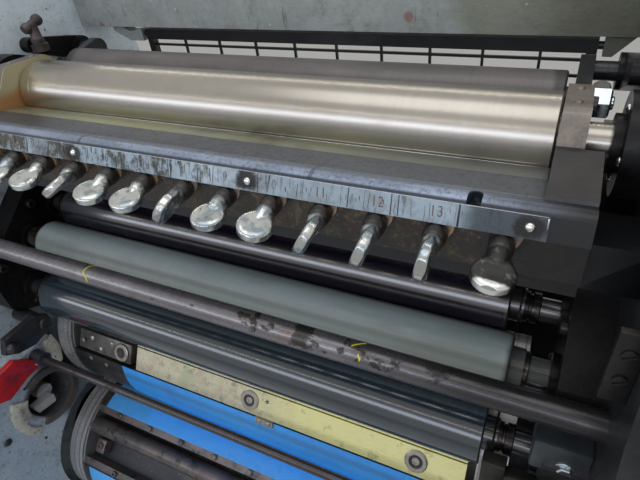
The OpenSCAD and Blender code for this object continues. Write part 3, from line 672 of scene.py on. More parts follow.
violet_gloss = machine_finish("violet_gloss", (0.008, 0.006, 0.012), (0.012, 0.010, 0.017), (0.006, 0.005, 0.008),
                              wear=0.4, dirt=0.4, roughness=0.20, spread=0.06, grain=0.002, stretch=film_grain,
                              depth=0.000004, uneven=0.02, coat=0.8,
                              marks=ink_film((0.020, 0.016, 0.026), inked_half), shine=1.0)
dress(violet_gloss, "black_gloss", "oscillator")
black_gloss = machine_finish("black_gloss", (0.004, 0.004, 0.005), (0.008, 0.008, 0.010), (0.003, 0.003, 0.004),
                             wear=0.4, dirt=0.3, roughness=0.20, spread=0.06, grain=0.002, stretch=film_grain,
                             depth=0.00001, uneven=0.02, marks=ink_film((0.009, 0.009, 0.011), inked_half),
                             shine=0.4)
dress(black_gloss, "black_gloss", "upper_oscillator", "ink_drum")
black_rubber = machine_finish("black_rubber", (0.018, 0.030, 0.042), (0.024, 0.038, 0.052), (0.013, 0.022, 0.030),
                              wear=0.4, dirt=0.3, roughness=0.16, spread=0.05, grain=0.002, stretch=film_grain,
                              depth=0.000002, uneven=0.02, coat=1.0,
                              marks=ink_film((0.018, 0.026, 0.028), inked_half))
dress(black_rubber, "black_rubber", "form_roller", "transfer_roller")
ductor_rubber = machine_finish("ductor_rubber", (0.115, 0.103, 0.100), (0.140, 0.125, 0.120), (0.088, 0.080, 0.077),
                               wear=0.4, dirt=0.3, roughness=0.30, spread=0.10, grain=0.002, stretch=film_grain,
                               depth=0.00002, uneven=0.05, marks=ink_film((0.07, 0.068, 0.064), inked_half))
dress(ductor_rubber, "black_rubber", "ductor_roller")


def green_marks(place, tone, rough):
    x = place.axis(0)
    right = (x + place.noise(0.1, 4) * 0.2).step(-0.10, 0.22)
    tone = tone.blend((0.38, 0.45, 0.47), right * 0.75)
    return ink_film((0.26, 0.32, 0.29), 0.31)(place, tone, rough)


green_rubber = machine_finish("green_rubber", (0.37, 0.44, 0.445), (0.41, 0.48, 0.485), (0.31, 0.37, 0.365),
                              wear=0.4, dirt=0.35, roughness=0.32, spread=0.10, grain=0.002, stretch=film_grain,
                              depth=0.00001, uneven=0.03, coat=0.3, marks=green_marks, mottle=0.5)
dress(green_rubber, "green_rubber", "distributor_roller")


def journal_marks(place, tone, rough):
    """Ink has run over the right ends."""
    inked = place.noise(0.012, 6, 0.7).step(0.34, 0.50) * place.axis(0).step(0.0, 0.01)
    return tone.blend((0.013, 0.012, 0.012), inked * 0.9), rough


journal_steel = machine_finish("journal_steel", (0.13, 0.115, 0.10), (0.24, 0.21, 0.18), (0.030, 0.026, 0.023),
                               dirt=0.6, roughness=0.34, grain=0.002, stretch=(1, 0.2, 0.2), depth=0.0001,
                               uneven=0.2, metallic=0.8, marks=journal_marks)
collar_line = [(11.9, 0), (15, 0), (15, 5), (13.2, 5.6), (13.2, 8), (15.4, 8.6), (15.4, 15), (12.6, 16), (11.9, 16)]
for name, (y, z, r) in train.items():
    forms = []
    for side in (-1, 1):
        outward = seat((side * shell_end, y, z), (side, 0, 0))
        forms.append(turned(outward, collar_line, 40))
        forms.append(turned(outward, [(r - 6, -2.4), (r - 5.2, -0.6), (r - 3.4, -0.6), (r - 2.6, -2.4)], 56))
    piece(f"{name}_collars", name, [journal_steel], forms)

# Distributor's left bearing screw: a threaded steel sleeve on the end of its journal, black with
# ink. It is turned as plain ridges.
thread_start, thread_pitch = -328.5, 2.4
thread = [(12.1, 0)]
for foot in (i * thread_pitch for i in range(9)):
    thread += [(14.6, foot + 0.5), (14.6, foot + 1.0), (13.0, foot + 1.7), (13.0, foot + 2.2)]
thread += [(12.1, 22)]
thread_seat = seat((thread_start, *train["distributor_roller"][:2]), (-1, 0, 0))
piece("distributor_thread", "distributor_roller", [journal_steel], [turned(thread_seat, thread, 40)])

# Ductor swing: cast arms, black with oil, that hold the ductor roller between bright hexagon nuts.
# A brown cap stands on the right one.
swing_black = machine_finish("swing_black", (0.022, 0.023, 0.026), (0.06, 0.062, 0.068), (0.01, 0.01, 0.01),
                             roughness=0.34, grain=0.003, depth=0.0008, metallic=0.2)
dress(swing_black, "dark_casting", "ductor_swing")
nut_chrome = machine_finish("nut_chrome", (0.62, 0.70, 0.76), (0.5, 0.56, 0.6), (0.16, 0.16, 0.17), wear=0.4,
                            dirt=0.35, roughness=0.2, spread=0.2, grain=0.003, metallic=0.95)
disc_brown = machine_finish("disc_brown", (0.15, 0.14, 0.12), (0.19, 0.18, 0.16), (0.06, 0.055, 0.05), wear=0.4,
                            dirt=0.3, roughness=0.5, spread=0.2, grain=0.002, metallic=0.3)
ductor_middle, arm_face = (197.59, 20.68), 332
arm_nuts = []
for side in (-1, 1):
    end = seat((side * arm_face, *ductor_middle), (side, 0, 0), (0, 0.3, 1))
    arm_nuts.append(turned(end, [(0, 17), (12, 17), (14.5, 15.4), (14.5, 1.4), (13.5, 0), (0, 0)], 6))
    arm_nuts.append(turned(end, [(0, 19.5), (5, 19.5), (6, 18.6), (6, 16)], 24))
cap = seat((339.8, 214, 22), (0, -0.42, 0.9))
arm_nuts.append(turned(cap, [(0, 10), (6.6, 10), (7.6, 9), (7.6, 1), (6.5, 0), (0, 0)], 32, 1))
arm_nuts.append(turned(cap, [(3.4, 1), (3.4, -16)], 16, 1))
piece("swing_nuts", "ductor_swing", [nut_chrome, disc_brown], arm_nuts)

# T-handle that locks the left stop arm: a turned steel stem with a cross bar through its head,
# purple-brown with old ink.
handle_brown = machine_finish("handle_brown", (0.055, 0.045, 0.052), (0.11, 0.085, 0.085), (0.02, 0.018, 0.02),
                              roughness=0.42, grain=0.002, metallic=0.3)
stem_foot = Vector((-345, 174, 56))
stem_up = Vector((-0.05, 0.05, 1)).normalized()
stem = seat(stem_foot, stem_up, (1, 0, 0))
bar_middle = stem_foot + stem_up * 28
bar_way = Vector((0, 0.95, 0.28)).normalized()
bar = seat(bar_middle - bar_way * 15, bar_way, (1, 0, 0))
stem_line = [(0, -6), (11, -6), (11, 3), (8.5, 4), (8.5, 10), (7.2, 12), (6.6, 24), (7.4, 28), (0, 29)]
bar_line = [(0, 0), (5.6, 0.6), (6.6, 2.5), (6.6, 8), (5.2, 10), (5.2, 20), (6.8, 22), (7.6, 26), (6.4, 30), (0, 31)]
piece("stop_handle", "press_frame", [handle_brown], [turned(stem, stem_line), turned(bar, bar_line)])

# Side frames: thick castings in light blue-grey paint, splashed with ink, palest at their tops and
# black with grease and painted shade round the lever and on the inside of the right one. Bolts hold their feet down.
lever_middle = (-64, -409)
foot_x, foot_top = 451, -1122


def hex_bolt(place, r, finish=0):
    """A hexagon head on its washer."""
    head = turned(place, [(0, 0.7 * r), (0.8 * r, 0.7 * r), (r, 0.58 * r), (r, 0.1 * r)], 6, finish)
    washer = turned(place, [(0, 0.16 * r), (1.25 * r, 0.16 * r), (1.33 * r, 0.1 * r), (1.33 * r, -1)], 28, finish)
    return [head, washer]


def wall_marks(place, tone, rough):
    x, z = place.axis(0), place.axis(2)
    pale = place.noise(0.05, 5, 0.6).step(0.42, 0.58)
    high = z.step(1.04, 1.14)
    drops = place.specks(0.006, 0.13).either(place.specks(0.03, 0.07))
    haze = place.noise(0.010, 8, 0.78).step(0.52, 0.66)
    fine = place.noise(0.0035, 5, 0.7).step(0.60, 0.68)
    tone = tone.blend((0.80, 0.91, 1.00), pale * 0.1 + high * (pale * 0.25 + 0.65))
    tone = tone.blend((0.10, 0.14, 0.15), haze * (high * -0.25 + 0.5))
    tone = tone.blend((0.05, 0.08, 0.07), fine * 0.7).blend((0.03, 0.045, 0.04), drops * 0.85)
    # The inside of the right frame is near black: grease and painted shade.
    dark = x.step(0.30, 0.31) * x.step(0.4195, 0.4185)
    oil = place.noise(0.03, 6, 0.65).step(0.40, 0.66)
    grease = place.plain((0.010, 0.010, 0.011)).blend((0.030, 0.031, 0.034), oil * 0.7)
    # The paint in the lever's round opening and below it is darkened: painted shade and grease.
    off = place.scaled(0, 1, 1).distance(at(0, *lever_middle))
    off = off + place.noise(0.02, 6, 0.7) * 0.03
    smear = off.step(0.100, 0.082) * place.axis(1).step(-0.130, -0.110) * 0.75
    lever_shade_and_grease = off.step(0.062, 0.050).either(smear)
    inside = x.step(-0.4195, -0.4185) * x.step(0.1, 0.0)
    tone = tone.blend((0.030, 0.026, 0.023), lever_shade_and_grease * inside * 0.9)
    return tone.blend(grease, dark * 0.985), rough + haze * 0.1 - dark * 0.05


frame_paint = machine_finish("frame_paint", (0.40, 0.49, 0.57), (0.50, 0.58, 0.64), (0.20, 0.23, 0.25), dirt=0.4,
                             roughness=0.38, spread=0.2, grain=0.004, depth=0.0004, marks=wall_marks, shine=0.25)
dress(frame_paint, "frame_paint", "left_side_frame", "right_side_frame", "drive_cover")
foot_bolts = []
for side in (-1, 1):
    for y in (-295, 415):
        foot_bolts += hex_bolt(seat((side * foot_x, y, foot_top), (0, 0, 1), (0, 1, 0)), 15)
piece("foundation_bolts", "press_frame", [swing_black], foot_bolts)

# Cross sills and rear sheet: black painted steel between the side frames; the sheet is closed by
# domed screws along its sides and top.
sheet_y = 353
dark_sheet = machine_finish("dark_sheet", (0.03, 0.032, 0.036), (0.05, 0.052, 0.056), (0.012, 0.012, 0.012),
                            wear=0.4, roughness=0.5, grain=0.003)
dress(dark_sheet, "dark_paint", "cross_sills")
sheet_places = [(side * 370, -965 + i * 118) for side in (-1, 1) for i in range(7)]
sheet_places += [(-275 + i * 110, -257) for i in range(6)]
piece("sheet_screws", "press_frame", [swing_black],
      [dome_screw(seat((x, sheet_y, z), (0, 1, 0)), 6, 3) for x, z in sheet_places])

# Left pad: what is bolted to it round the throw-off lever. A cast ring, the lever's cream index
# segment, a red painted bar on a black lever with its ball, and a worn pale lug.


def arc(r, start, end, steps, middle=(0, 0)):
    """Points on an arc, in degrees."""
    turns = [math.radians(start + (end - start) * i / steps) for i in range(steps + 1)]
    return [(middle[0] + r * math.cos(a), middle[1] + r * math.sin(a)) for a in turns]


pad_x = -340
on_pad = seat((pad_x, 0, 0), (1, 0, 0))
ring = arc(50, -128, 118, 30, lever_middle) + arc(37.2, 118, -128, 30, lever_middle)
segment = (arc(64, 142, 226, 16, lever_middle) + arc(51, 226, 190, 6, lever_middle)
           + arc(38.5, 184, 142, 8, lever_middle))
red_bar = [(-56, -332), (-57, -347), (-78, -347), (-112, -356), (-127, -347), (-140, -330), (-106, -308), (-81, -306)]
black_lever = [(-88, -283), (-78, -262), (-28, -262), (-10, -276), (-10, -296), (-46, -304), (-72, -296)]
pale_lug = [(-16, -320), (-12, -345), (-21, -371), (-36, -376), (-41, -346), (-30, -322)]


def cream_marks(place, tone, rough):
    scrape = place.noise(0.008, 6, 0.7).step(0.53, 0.62)
    ring_line = place.noise(0.004, 4, 0.6).step(0.62, 0.68)
    return tone.blend((0.20, 0.12, 0.09), scrape * 0.7).blend((0.05, 0.05, 0.045), ring_line * 0.7), rough


cream_paint = machine_finish("cream_paint", (0.60, 0.60, 0.50), (0.48, 0.48, 0.42), (0.16, 0.13, 0.11), dirt=0.4,
                             roughness=0.42, spread=0.25, grain=0.003, marks=cream_marks)


def red_marks(place, tone, rough):
    grease = (place.noise(0.025, 6, 0.7) + place.axis(2) * 4).step(3.84, 3.96)
    scuffs = place.noise(0.006, 6, 0.7).step(0.56, 0.64)
    return tone.blend((0.22, 0.02, 0.02), scuffs * 0.45).blend((0.05, 0.025, 0.025), grease * 0.6), rough


red_paint = machine_finish("red_paint", (0.62, 0.008, 0.014), (0.55, 0.015, 0.02), (0.10, 0.015, 0.012),
                           roughness=0.34, spread=0.25, grain=0.002, marks=red_marks)
ring_paint = machine_finish("ring_paint", (0.075, 0.064, 0.055), (0.12, 0.11, 0.10), (0.030, 0.025, 0.020),
                            roughness=0.42, grain=0.003)
raised, ball, pivot, rivet, lug_screw = (
    seat((pad_x + out, y, z), (1, 0, 0))
    for out, y, z in ((8, 0, 0), (14, -76, -278), (1, -20, -284), (-1, -62, -290), (7, -57, -338)))
piece("pad_ring", "press_frame", [ring_paint], [plate(on_pad, ring, 5, 1.6)])
piece("index_segment", "press_frame", [cream_paint], [plate(on_pad, segment, 4, 1.0)])
piece("red_bar", "press_frame", [red_paint], [plate(on_pad, red_bar, 9, 1.8)])
piece("black_lever", "press_frame", [swing_black], [
    plate(raised, black_lever, 10, 2.5),
    turned(ball, [(0, 14), (4, 13.3), (7, 10.8), (8.4, 7), (8.4, 4), (7, 1.5), (5, -3)]),
    turned(pivot, [(0, 20), (8, 20), (10, 18), (10, -45)]),
    turned(rivet, [(0, 10), (5, 10), (5, -1)], 20),
])
piece("pale_lug", "press_frame", [cream_paint],
      [plate(on_pad, pale_lug, 6, 2.4), dome_screw(lug_screw, 4, 3)])
pad_bolts = ((-88, -366, 2.6), (-147, -420, 6), (-105, -472, 2.6), (-60, -520, 7), (-30, -690, 7), (-130, -690, 7))
piece("pad_bolts", "press_frame", [swing_black],
      [dome_screw(seat((pad_x, y, z), (1, 0, 0)), r, 0.5 * r) for y, z, r in pad_bolts])

# Throw-off lever: a bare steel arm, worn pale, on the shaft in the round opening of the left frame,
# with grease in its hub.


def lever_marks(place, tone, rough):
    hub = place.axis(2).step(0.7445, 0.7485)
    return tone.blend((0.05, 0.045, 0.04), hub * 0.5), rough


lever_steel = machine_finish("lever_steel", (0.52, 0.54, 0.52), (0.42, 0.43, 0.42), (0.10, 0.09, 0.08), dirt=0.4,
                             roughness=0.38, grain=0.003, metallic=0.3, marks=lever_marks)
dress(lever_steel, "worn_steel", "throw_off_lever")

# Rear beam: hammered grey-green paint over filler, scratched, chipped to bright metal and dabbed
# with ink.


def beam_marks(place, tone, rough):
    drips = place.scaled(1, 0.3, 0.12).noise(0.006, 5, 0.7).step(0.62, 0.70)
    moss = (place.noise(0.07, 4) + place.axis(0) * 0.3).step(0.50, 0.70)
    chips = place.specks(0.03, 0.06)
    red = place.specks(0.11, 0.07)
    tone = tone.blend((0.17, 0.175, 0.10), moss * 0.55).blend((0.035, 0.035, 0.03), drips * 0.6)
    shade = (place.axis(0) + place.noise(0.05, 5) * 0.08).step(0.27, 0.37)
    tone = tone.blend((0.085, 0.083, 0.055), shade * 0.75)
    return tone.blend((0.62, 0.62, 0.58), chips * 0.8).blend((0.25, 0.05, 0.03), red * 0.6), rough - moss * 0.05


beam_paint = machine_finish("beam_paint", (0.33, 0.36, 0.35), (0.40, 0.43, 0.42), (0.17, 0.18, 0.17), dirt=0.40,
                            roughness=0.40, spread=0.25, grain=0.0035, depth=0.0007, uneven=0.6, marks=beam_marks)
dress(beam_paint, "beam_paint", "rear_beam")
beam_end, beam_back = 352, 345
beam_bolts = []
for side in (-1, 1):
    for z in (76, 118):
        beam_bolts += hex_bolt(seat((side * beam_end, beam_back, z), (0, 1, 0)), 11)
piece("beam_bolts", "press_frame", [swing_black], beam_bolts)

# Mesh guard: wire welded into a frame of flat bar, stove black. It is the model's own solid, and
# hangs from the rear beam on its hinge.
guard_black = machine_finish("guard_black", (0.018, 0.018, 0.02), (0.035, 0.035, 0.038), (0.008, 0.008, 0.008),
                             wear=0.3, dirt=0.4, roughness=0.42, grain=0.003)
dress(guard_black, "dark_paint", "mesh_guard")

# Tie bars: ground steel between the side frames, filmed grey-brown, with ink smears, rust and a few
# strokes of yellow marking paint.


def bar_marks(place, tone, rough):
    x = place.axis(0)
    smear = place.scaled(0.7, 1, 1).noise(0.022, 6, 0.68).step(0.60, 0.64)
    rust = place.noise(0.03, 5, 0.6).step(0.60, 0.70)
    right = (x + place.noise(0.08, 4) * 0.1).step(0.16, 0.36)
    thin = place.axis(2).step(0.90, 0.88)
    tone = tone.blend((0.20, 0.10, 0.07), rust * 0.4).blend((0.028, 0.026, 0.02), smear * 0.9)
    for blot, reach, edge in ((0.081, 0.004, 1.0195), (0.133, 0.010, 1.0165)):
        off = (x - blot).size() + place.noise(0.009, 7, 0.75) * 0.036
        upper = (place.axis(2) + place.noise(0.006, 5) * 0.012).step(edge, edge + 0.002)
        tone = tone.blend((0.036, 0.034, 0.030), off.step(reach + 0.018, reach + 0.015) * upper * 0.9)
    tone = tone.blend((0.036, 0.030, 0.030), thin * 0.8)
    return tone.blend((0.018, 0.018, 0.020), right * 0.85), rough + smear * 0.1


bar_steel = machine_finish("bar_steel", (0.20, 0.19, 0.20), (0.28, 0.265, 0.285), (0.10, 0.094, 0.09), dirt=0.4,
                           roughness=0.28, spread=0.2, stretch=(0.3, 1, 1), depth=0.0001, uneven=0.2, metallic=0.6,
                           marks=bar_marks)
dress(bar_steel, "worn_steel", "front_tie_bars")
tie_middle, tie_r = (-22.4, -137.9), 12
yellow_paint = machine_finish("yellow_paint", (0.70, 0.62, 0.02), (0.6, 0.5, 0.03), (0.3, 0.26, 0.02), wear=0.3,
                              dirt=0.2, roughness=0.5, spread=0.2, grain=0.002)


def stroke(points, wide):
    """A stroke of paint on the upper side of the tie bar, through points (x, y)."""
    form = bmesh.new()
    rows = []
    for i, (x, y) in enumerate(points):
        before, after = points[max(i - 1, 0)], points[min(i + 1, len(points) - 1)]
        way = Vector((after[0] - before[0], after[1] - before[1])).normalized()
        row = []
        for side, lift in ((-1, -1), (-0.7, 0.25), (0.7, 0.25), (1, -1)):
            px, py = x - way.y * side * wide, y + way.x * side * wide
            turn = math.acos(max(-1, min(1, (py - tie_middle[0]) / tie_r)))
            row.append(form.verts.new((px, (tie_r + lift) * math.cos(turn) + tie_middle[0],
                                       (tie_r + lift) * math.sin(turn) + tie_middle[1])))
        rows.append(row)
    for low, high in zip(rows, rows[1:]):
        for j in range(4):
            form.faces.new((low[j], low[(j + 1) % 4], high[(j + 1) % 4], high[j]))
    form.faces.new(rows[0][::-1])
    form.faces.new(rows[-1])
    return settled(form, Matrix.Translation(at(0, 0, 0)) @ Matrix.Scale(0.001, 4), 0)


def through(start, end):
    """Points (x, y) from start to end."""
    steps = 6
    reach = (end[0] - start[0], end[1] - start[1])
    return [(start[0] + reach[0] * i / steps, start[1] + reach[1] * i / steps) for i in range(steps + 1)]


strokes = (((-141, -34), (-149, -29), 0.8), ((-149, -29), (-146, -19), 1.0), ((-146, -19), (-138, -11.5), 1.2),
           ((182, -25), (193, -17), 0.8), ((190, -30), (193, -33), 1.0))
piece("yellow_strokes", "press_frame", [yellow_paint],
      [stroke(through(start, end), wide) for start, end, wide in strokes])

# Roller brackets and bearings: castings that carry the rollers and cylinders, black with ink and
# oil, flecked with painted glints, and bolted to the frames by socket screws.
plate_middle, blanket_middle, impression_middle = (100.2, -361.1), (10.84, -578.99), (110.36, -792.42)


def ink_specks(place, tone, rough):
    # Pale blue-grey specks on the oily black: painted glints.
    glint = place.noise(0.005, 7, 0.8).step(0.63, 0.70)
    return tone.blend((0.17, 0.185, 0.21), glint * 0.5), rough


bracket_black = machine_finish("bracket_black", (0.007, 0.007, 0.008), (0.018, 0.018, 0.020), (0.004, 0.004, 0.004),
                               dirt=0.6, roughness=0.34, spread=0.2, grain=0.003, depth=0.0004, uneven=0.35,
                               marks=ink_specks, shine=0.2)
dress(bracket_black, "dark_casting", "roller_sockets", "cylinder_bearings")
bracket_face, ring_face = 351, 358
bracket_bolts = []
for side in (-1, 1):
    for y, z in ((60, -128), (128, -92), (205, -22), (232, -92), (-18, -186), (0, -262), (90, -206)):
        bracket_bolts.append(socket_screw(seat((side * bracket_face, y, z), (-side, 0, 0)), 6.5, 6))
    for y, z in ((0, 30), (-30, 0), (30, 0), (0, -30)):
        place = (side * ring_face, fountain_middle[0] + y, fountain_middle[1] + z)
        bracket_bolts.append(dome_screw(seat(place, (-side, 0, 0)), 4, 2.4, 1))
piece("bracket_bolts", "press_frame", [dark_socket, screw_bright], bracket_bolts)
flange_face, flange_bolt_r = 433, 70
flange_bolts = []
for y, z in (plate_middle, blanket_middle, impression_middle):
    for turn in range(6):
        a = math.radians(60 * turn + 30)
        place = (flange_face, y + flange_bolt_r * math.cos(a), z + flange_bolt_r * math.sin(a))
        flange_bolts.append(socket_screw(seat(place, (1, 0, 0)), 7, 7))
piece("flange_bolts", "press_frame", [dark_socket], flange_bolts)

# Right inner wall: a blue-grey stop block with its bolt, a narrow plate under two slotted screws,
# and the hanger at the form roller's end, all dark with grease.


def slot_screw(place, r, h):
    """A round head with a driver's slot across it."""
    slanted = place @ Matrix.Rotation(0.5, 4, "Z")
    halves = [plate(slanted, arc(r, start, start + 160, 14), h, 0.1 * r) for start in (10, 190)]
    return halves + [turned(place, [(0, 0.4 * h), (0.95 * r, 0.4 * h), (0.95 * r, -1)], 24)]


stop_blue = machine_finish("stop_blue", (0.036, 0.045, 0.050), (0.060, 0.070, 0.078), (0.012, 0.012, 0.013),
                           dirt=0.45, roughness=0.36, grain=0.003, metallic=0.2)
plate_dark = machine_finish("plate_dark", (0.017, 0.016, 0.015), (0.045, 0.042, 0.037), (0.006, 0.006, 0.005),
                            roughness=0.4, grain=0.002, metallic=0.5)


def to_front(x, y, z):
    """A seat that faces the operator."""
    return seat((x, y, z), (0, -1, 0))


piece("stop_block", "press_frame", [stop_blue, nut_chrome],
      [block(to_front(363, 0, -190), (44, 38, 31), 2.5)] + hex_bolt(to_front(368, -31, -197), 6.5, 1))
piece("narrow_plate", "press_frame", [plate_dark],
      [block(to_front(376.5, -36, -52), (17, 64, 6))]
      + slot_screw(to_front(377, -42, -38), 5.0, 1.6) + slot_screw(to_front(377, -42, -62), 5.0, 1.6))
piece("form_hanger", "press_frame", [plate_dark],
      [block(to_front(315, -18, -262), (21, 72, 14), 1.5), block(to_front(338, -19, -247), (28, 15, 12))])

# Cylinders: cast bodies, black with ink inside their gaps, between ground bearer rings that run
# clean and bright, with fine wear stripes.


def bearer_marks(place, tone, rough):
    x = place.axis(0)
    ring = x.size().step(0.2985, 0.2995) * x.size().step(0.3295, 0.3285)
    stripe = place.scaled(1, 0.01, 0.01).noise(0.0035, 3, 0.6).step(0.46, 0.60)
    steel = place.plain((0.50, 0.51, 0.53)).blend((0.22, 0.20, 0.17), stripe * 0.75)
    spots = place.specks(0.010, 0.10)
    tone = tone.blend((0.30, 0.32, 0.34), spots * 0.7)
    return tone.blend(steel, ring * 0.95), rough - ring * 0.08


cylinder_steel = machine_finish("cylinder_steel", (0.040, 0.043, 0.050), (0.085, 0.08, 0.075),
                                (0.015, 0.015, 0.017), roughness=0.36, grain=0.003, depth=0.0003, uneven=0.3,
                                metallic=0.55, marks=bearer_marks)
dress(cylinder_steel, "cylinder_steel", "plate_cylinder", "blanket_cylinder", "impression_cylinder")

# Plate clamps: yellow passivated bars held by cap screws in thick washers; a plain steel bar ends
# the row on the left, and a register clip sits on the plate's edge. Towards the right the bars turn
# a bright yellow-white: a painted reflection.
plate_gap, clip_turn = 149, 168.5


def on_cylinder(middle, x, turn, r, aside=0.0):
    """A seat on a cylinder at a turn in degrees from the back towards the top, facing out."""
    a = math.radians(turn)
    out, along = Vector((0, math.cos(a), math.sin(a))), Vector((0, -math.sin(a), math.cos(a)))
    place = Vector((x, *middle)) + out * r + along * aside
    return seat(place, out, along)


def zinc_marks(place, tone, rough):
    x = place.axis(0)
    # glow turns the bars bright yellow-white towards the right: a painted reflection.
    glow = (x + place.noise(0.04, 5) * 0.1).step(0.04, 0.16)
    pink = place.noise(0.02, 5, 0.6).step(0.50, 0.62)
    green = place.noise(0.03, 4, 0.6).step(0.56, 0.66)
    stain = place.noise(0.008, 7, 0.75).step(0.55, 0.66)
    tone = tone.blend((0.98, 0.96, 0.44), glow * 0.85).blend((0.58, 0.42, 0.36), pink * (glow * -0.5 + 0.6))
    tone = tone.blend((0.40, 0.50, 0.30), green * (glow * -0.3 + 0.5))
    return tone.blend((0.12, 0.11, 0.05), stain * (glow * -0.2 + 0.6)), rough - glow * 0.06


clamp_zinc = machine_finish("clamp_zinc", (0.68, 0.66, 0.48), (0.76, 0.73, 0.56), (0.30, 0.29, 0.18), dirt=0.4,
                            roughness=0.28, spread=0.2, grain=0.0016, stretch=(0.4, 1, 1), uneven=0.3,
                            metallic=0.45, marks=zinc_marks)
dress(clamp_zinc, "clamp_zinc", "plate_clamps")
washer_steel = machine_finish("washer_steel", (0.36, 0.34, 0.31), (0.48, 0.46, 0.42), (0.10, 0.09, 0.08), dirt=0.4,
                              roughness=0.34, grain=0.002, metallic=0.8)
end_bar_steel = machine_finish("end_bar_steel", (0.12, 0.115, 0.11), (0.19, 0.18, 0.17), (0.03, 0.027, 0.024),
                               dirt=0.6, roughness=0.4, grain=0.0025, metallic=0.4)


def on_plate(x, r, aside=0.0, turn=plate_gap):
    """A seat on the plate cylinder, at its gap unless a turn is given."""
    return on_cylinder(plate_middle, x, turn, r, aside)


clamp_forms = []
for x in (-201, 19.5, 237):
    place = on_plate(x, 110.8, 17.5)
    clamp_forms.append(turned(place, [(7.4, 0.5), (8.0, 2.4), (11.8, 2.4), (13.0, 1.6), (13.2, -0.5)], 40))
    clamp_forms.append(turned(place, [(0, 0.6), (7.6, 0.6), (7.6, -1)], 28, 1))
    if x > -200:
        clamp_forms.append(turned(place, [(0, 0.9), (1.7, 0.9), (2.0, 2.0), (3.9, 2.0), (4.6, 1.4), (4.6, 0)], 24))
clamp_forms.append(block(on_plate(-236, 86, 17.5), (104, 30, 24), 2, 2))
for x, aside, r in ((-262, 12, 4.5), (-243, 24, 3.5), (-222, 10, 3.2)):
    clamp_forms.append(dome_screw(on_plate(x, 110, aside), r, 2))
clamp_forms.append(dome_screw(on_plate(44.6, 111, 12), 2.4, 3))
piece("clamp_screws", "plate_cylinder", [washer_steel, dark_socket, end_bar_steel], clamp_forms)
clip = [block(on_plate(44, 116.8, turn=clip_turn), (26, 10, 3), 0.6)]
clip += [dome_screw(on_plate(x, 119.6, turn=clip_turn), 3.6, 2) for x in (37, 50)]
piece("register_clip", "plate_cylinder", [washer_steel], clip)
flank_bolts = ((-275, 157.7), (-265.5, 172.4), (-235.3, 173.8))
piece("flank_bolts", "plate_cylinder", [washer_steel],
      [dome_screw(on_plate(x, 116.6, turn=turn), 3.4, 0.8) for x, turn in flank_bolts])

# Printing plate: thin aluminium with a blue coating, wrapped round its cylinder and held by the
# clamps. It is still clean, with a haze of ink and faint lines round it.


def plate_marks(place, tone, rough):
    haze = place.noise(0.05, 6, 0.62).step(0.55, 0.72)
    lines = place.scaled(0.05, 1, 1).noise(0.006, 3).step(0.60, 0.66)
    return tone.blend((0.03, 0.18, 0.55), haze * 0.4).blend((0.12, 0.38, 0.80), lines * 0.3), rough


plate_blue = machine_finish("plate_blue", (0.028, 0.35, 0.95), (0.028, 0.32, 0.90), (0.020, 0.26, 0.76), wear=0.4,
                            dirt=0.25, roughness=0.36, spread=0.15, grain=0.002, depth=0.00005, uneven=0.3,
                            marks=plate_marks)
dress(plate_blue, "plate_blue", "printing_plate")

# Blanket: light blue rubber pulled round the middle cylinder and wound on a reel rod in its gap,
# with bolted clamp bars filmed pink-grey.
blanket_blue = machine_finish("blanket_blue", (0.075, 0.40, 0.92), (0.09, 0.42, 0.90), (0.04, 0.20, 0.55), wear=0.4,
                              dirt=0.2, roughness=0.42, spread=0.15, grain=0.0012, depth=0.0001, uneven=0.3)
dress(blanket_blue, "blanket_blue", "blanket")


def bars_marks(place, tone, rough):
    pink = place.noise(0.03, 5, 0.6).step(0.42, 0.60)
    soot = place.noise(0.013, 7, 0.7).step(0.53, 0.63)
    return tone.blend((0.16, 0.125, 0.12), pink * 0.6).blend((0.02, 0.019, 0.018), soot * 0.75), rough


bars_steel = machine_finish("bars_steel", (0.105, 0.10, 0.10), (0.17, 0.16, 0.16), (0.030, 0.028, 0.026),
                            roughness=0.4, grain=0.002, stretch=(0.4, 1, 1), depth=0.0003, metallic=0.5,
                            marks=bars_marks)
dress(bars_steel, "scale_steel", "blanket_bar")
blanket_gap = 132.6


def in_gap(x, r, aside):
    """A seat in the blanket cylinder's gap."""
    return on_cylinder(blanket_middle, x, blanket_gap, r, aside)


blanket_bolts = []
for i in range(9):
    x = -252 + i * 63
    blanket_bolts += hex_bolt(in_gap(x, 103.6, -43.5), 4.6)
    blanket_bolts.append(socket_screw(in_gap(x + 20, 103.6, 43.5), 4.4, 4))
for x in (-276, 0, 276):
    blanket_bolts += [block(in_gap(x, 86.4, 14), (18, 22, 16), 1.5), socket_screw(in_gap(x, 102, 14), 5, 4)]
piece("blanket_bolts", "blanket_cylinder", [bars_steel], blanket_bolts)

# Drive cover: folded sheet over the gears on the left, painted as the frame, with screws along its
# edge and two quarter-turn latches.
cover_face = -481
cover_edge = ((-20, -900), (120, -900), (230, -900), (248, -700), (256, -480), (262, -260), (250, -90), (150, -80),
              (40, -90), (-20, -250), (-75, -400), (-110, -560), (-105, -720))
cover_forms = [dome_screw(seat((cover_face, y, z), (-1, 0, 0)), 6, 2) for y, z in cover_edge]
for z in (-200, -800):
    latch = seat((cover_face, 170, z), (-1, 0, 0))
    cover_forms.append(turned(latch, [(0, 1.5), (15, 1.5), (17, 0.8), (17, -1)], 32))
    cover_forms.append(block(latch @ Matrix.Translation((0, 0, 1)), (24, 6, 2.5), 1))
piece("cover_screws", "press_frame", [dark_socket], cover_forms)

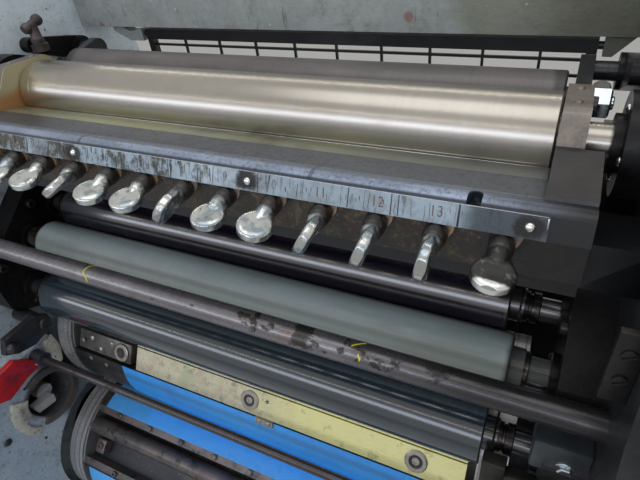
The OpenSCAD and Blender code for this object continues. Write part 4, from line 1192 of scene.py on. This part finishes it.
# Studio: a plain pale floor, soft lamps, and strip lamps along the machine that draw the streaks on
# its rollers.
floor_half = 12
floor_mesh = bmesh.new()
bmesh.ops.create_grid(floor_mesh, x_segments=1, y_segments=1, size=floor_half)
floor_data = bpy.data.meshes.new("studio_floor")
floor_mesh.to_mesh(floor_data)
floor_mesh.free()
floor = bpy.data.objects.new("studio_floor", floor_data)
scene.collection.objects.link(floor)
floor_material = bpy.data.materials.new("studio_floor")
floor_material.use_nodes = True
floor_shader = floor_material.node_tree.nodes["Principled BSDF"]
floor_shader.inputs["Base Color"].default_value = (0.72, 0.72, 0.70, 1)
floor_shader.inputs["Roughness"].default_value = 0.7
floor_data.materials.append(floor_material)

world = bpy.data.worlds.new("studio")
scene.world = world
world.use_nodes = True
sky = world.node_tree.nodes["Background"]
sky.inputs["Color"].default_value = (1, 0.985, 0.96, 1)
rays = world.node_tree.nodes.new("ShaderNodeLightPath")
camera_ray, glossy_ray = (Wire(world.node_tree, rays.outputs[f"Is {kind} Ray"]) for kind in ("Camera", "Glossy"))
glow = (camera_ray + glossy_ray) * 0.2 + 0.45
world.node_tree.links.new(glow.socket, sky.inputs["Strength"])


def lamp(name, place, aim, long, wide, glow, colour=(1, 1, 1)):
    """A flat lamp, whose glow is its brightness where 1 is white."""
    light = bpy.data.lights.new(name, "AREA")
    light.color = colour
    light.shape, light.size, light.size_y = "RECTANGLE", long, wide
    light.energy = glow * math.pi * long * wide
    made = bpy.data.objects.new(name, light)
    scene.collection.objects.link(made)
    away = place - aim
    side = Vector((1, 0, 0))
    axes = Matrix((side, away.cross(side).normalized(), away.normalized())).transposed().to_4x4()
    made.matrix_world = Matrix.Translation(place) @ axes


middle = Vector((0, 0.04, 1.1))
leftwards = Vector((-1.5, 0, 0))


def around(angle, distance):
    """A place round the machine's middle, at an angle from the back towards the top."""
    a = math.radians(angle)
    return middle + distance * Vector((0, math.cos(a), math.sin(a)))


strip_long = 5.4
lamp("rear_strip", around(44.7, 2.4) + leftwards, middle + leftwards, strip_long, 0.06, 9, (1, 0.96, 0.85))
lamp("front_strip", around(135.7, 2.4) + leftwards, middle + leftwards, strip_long, 0.05, 7, (1, 0.96, 0.88))
lamp("window", around(155, 2.6) + leftwards, middle + leftwards, strip_long, 0.5, 3.8, (0.76, 0.84, 1))
lamp("overhead", around(95, 2.6), middle, 2.6, 1.6, 1.5)
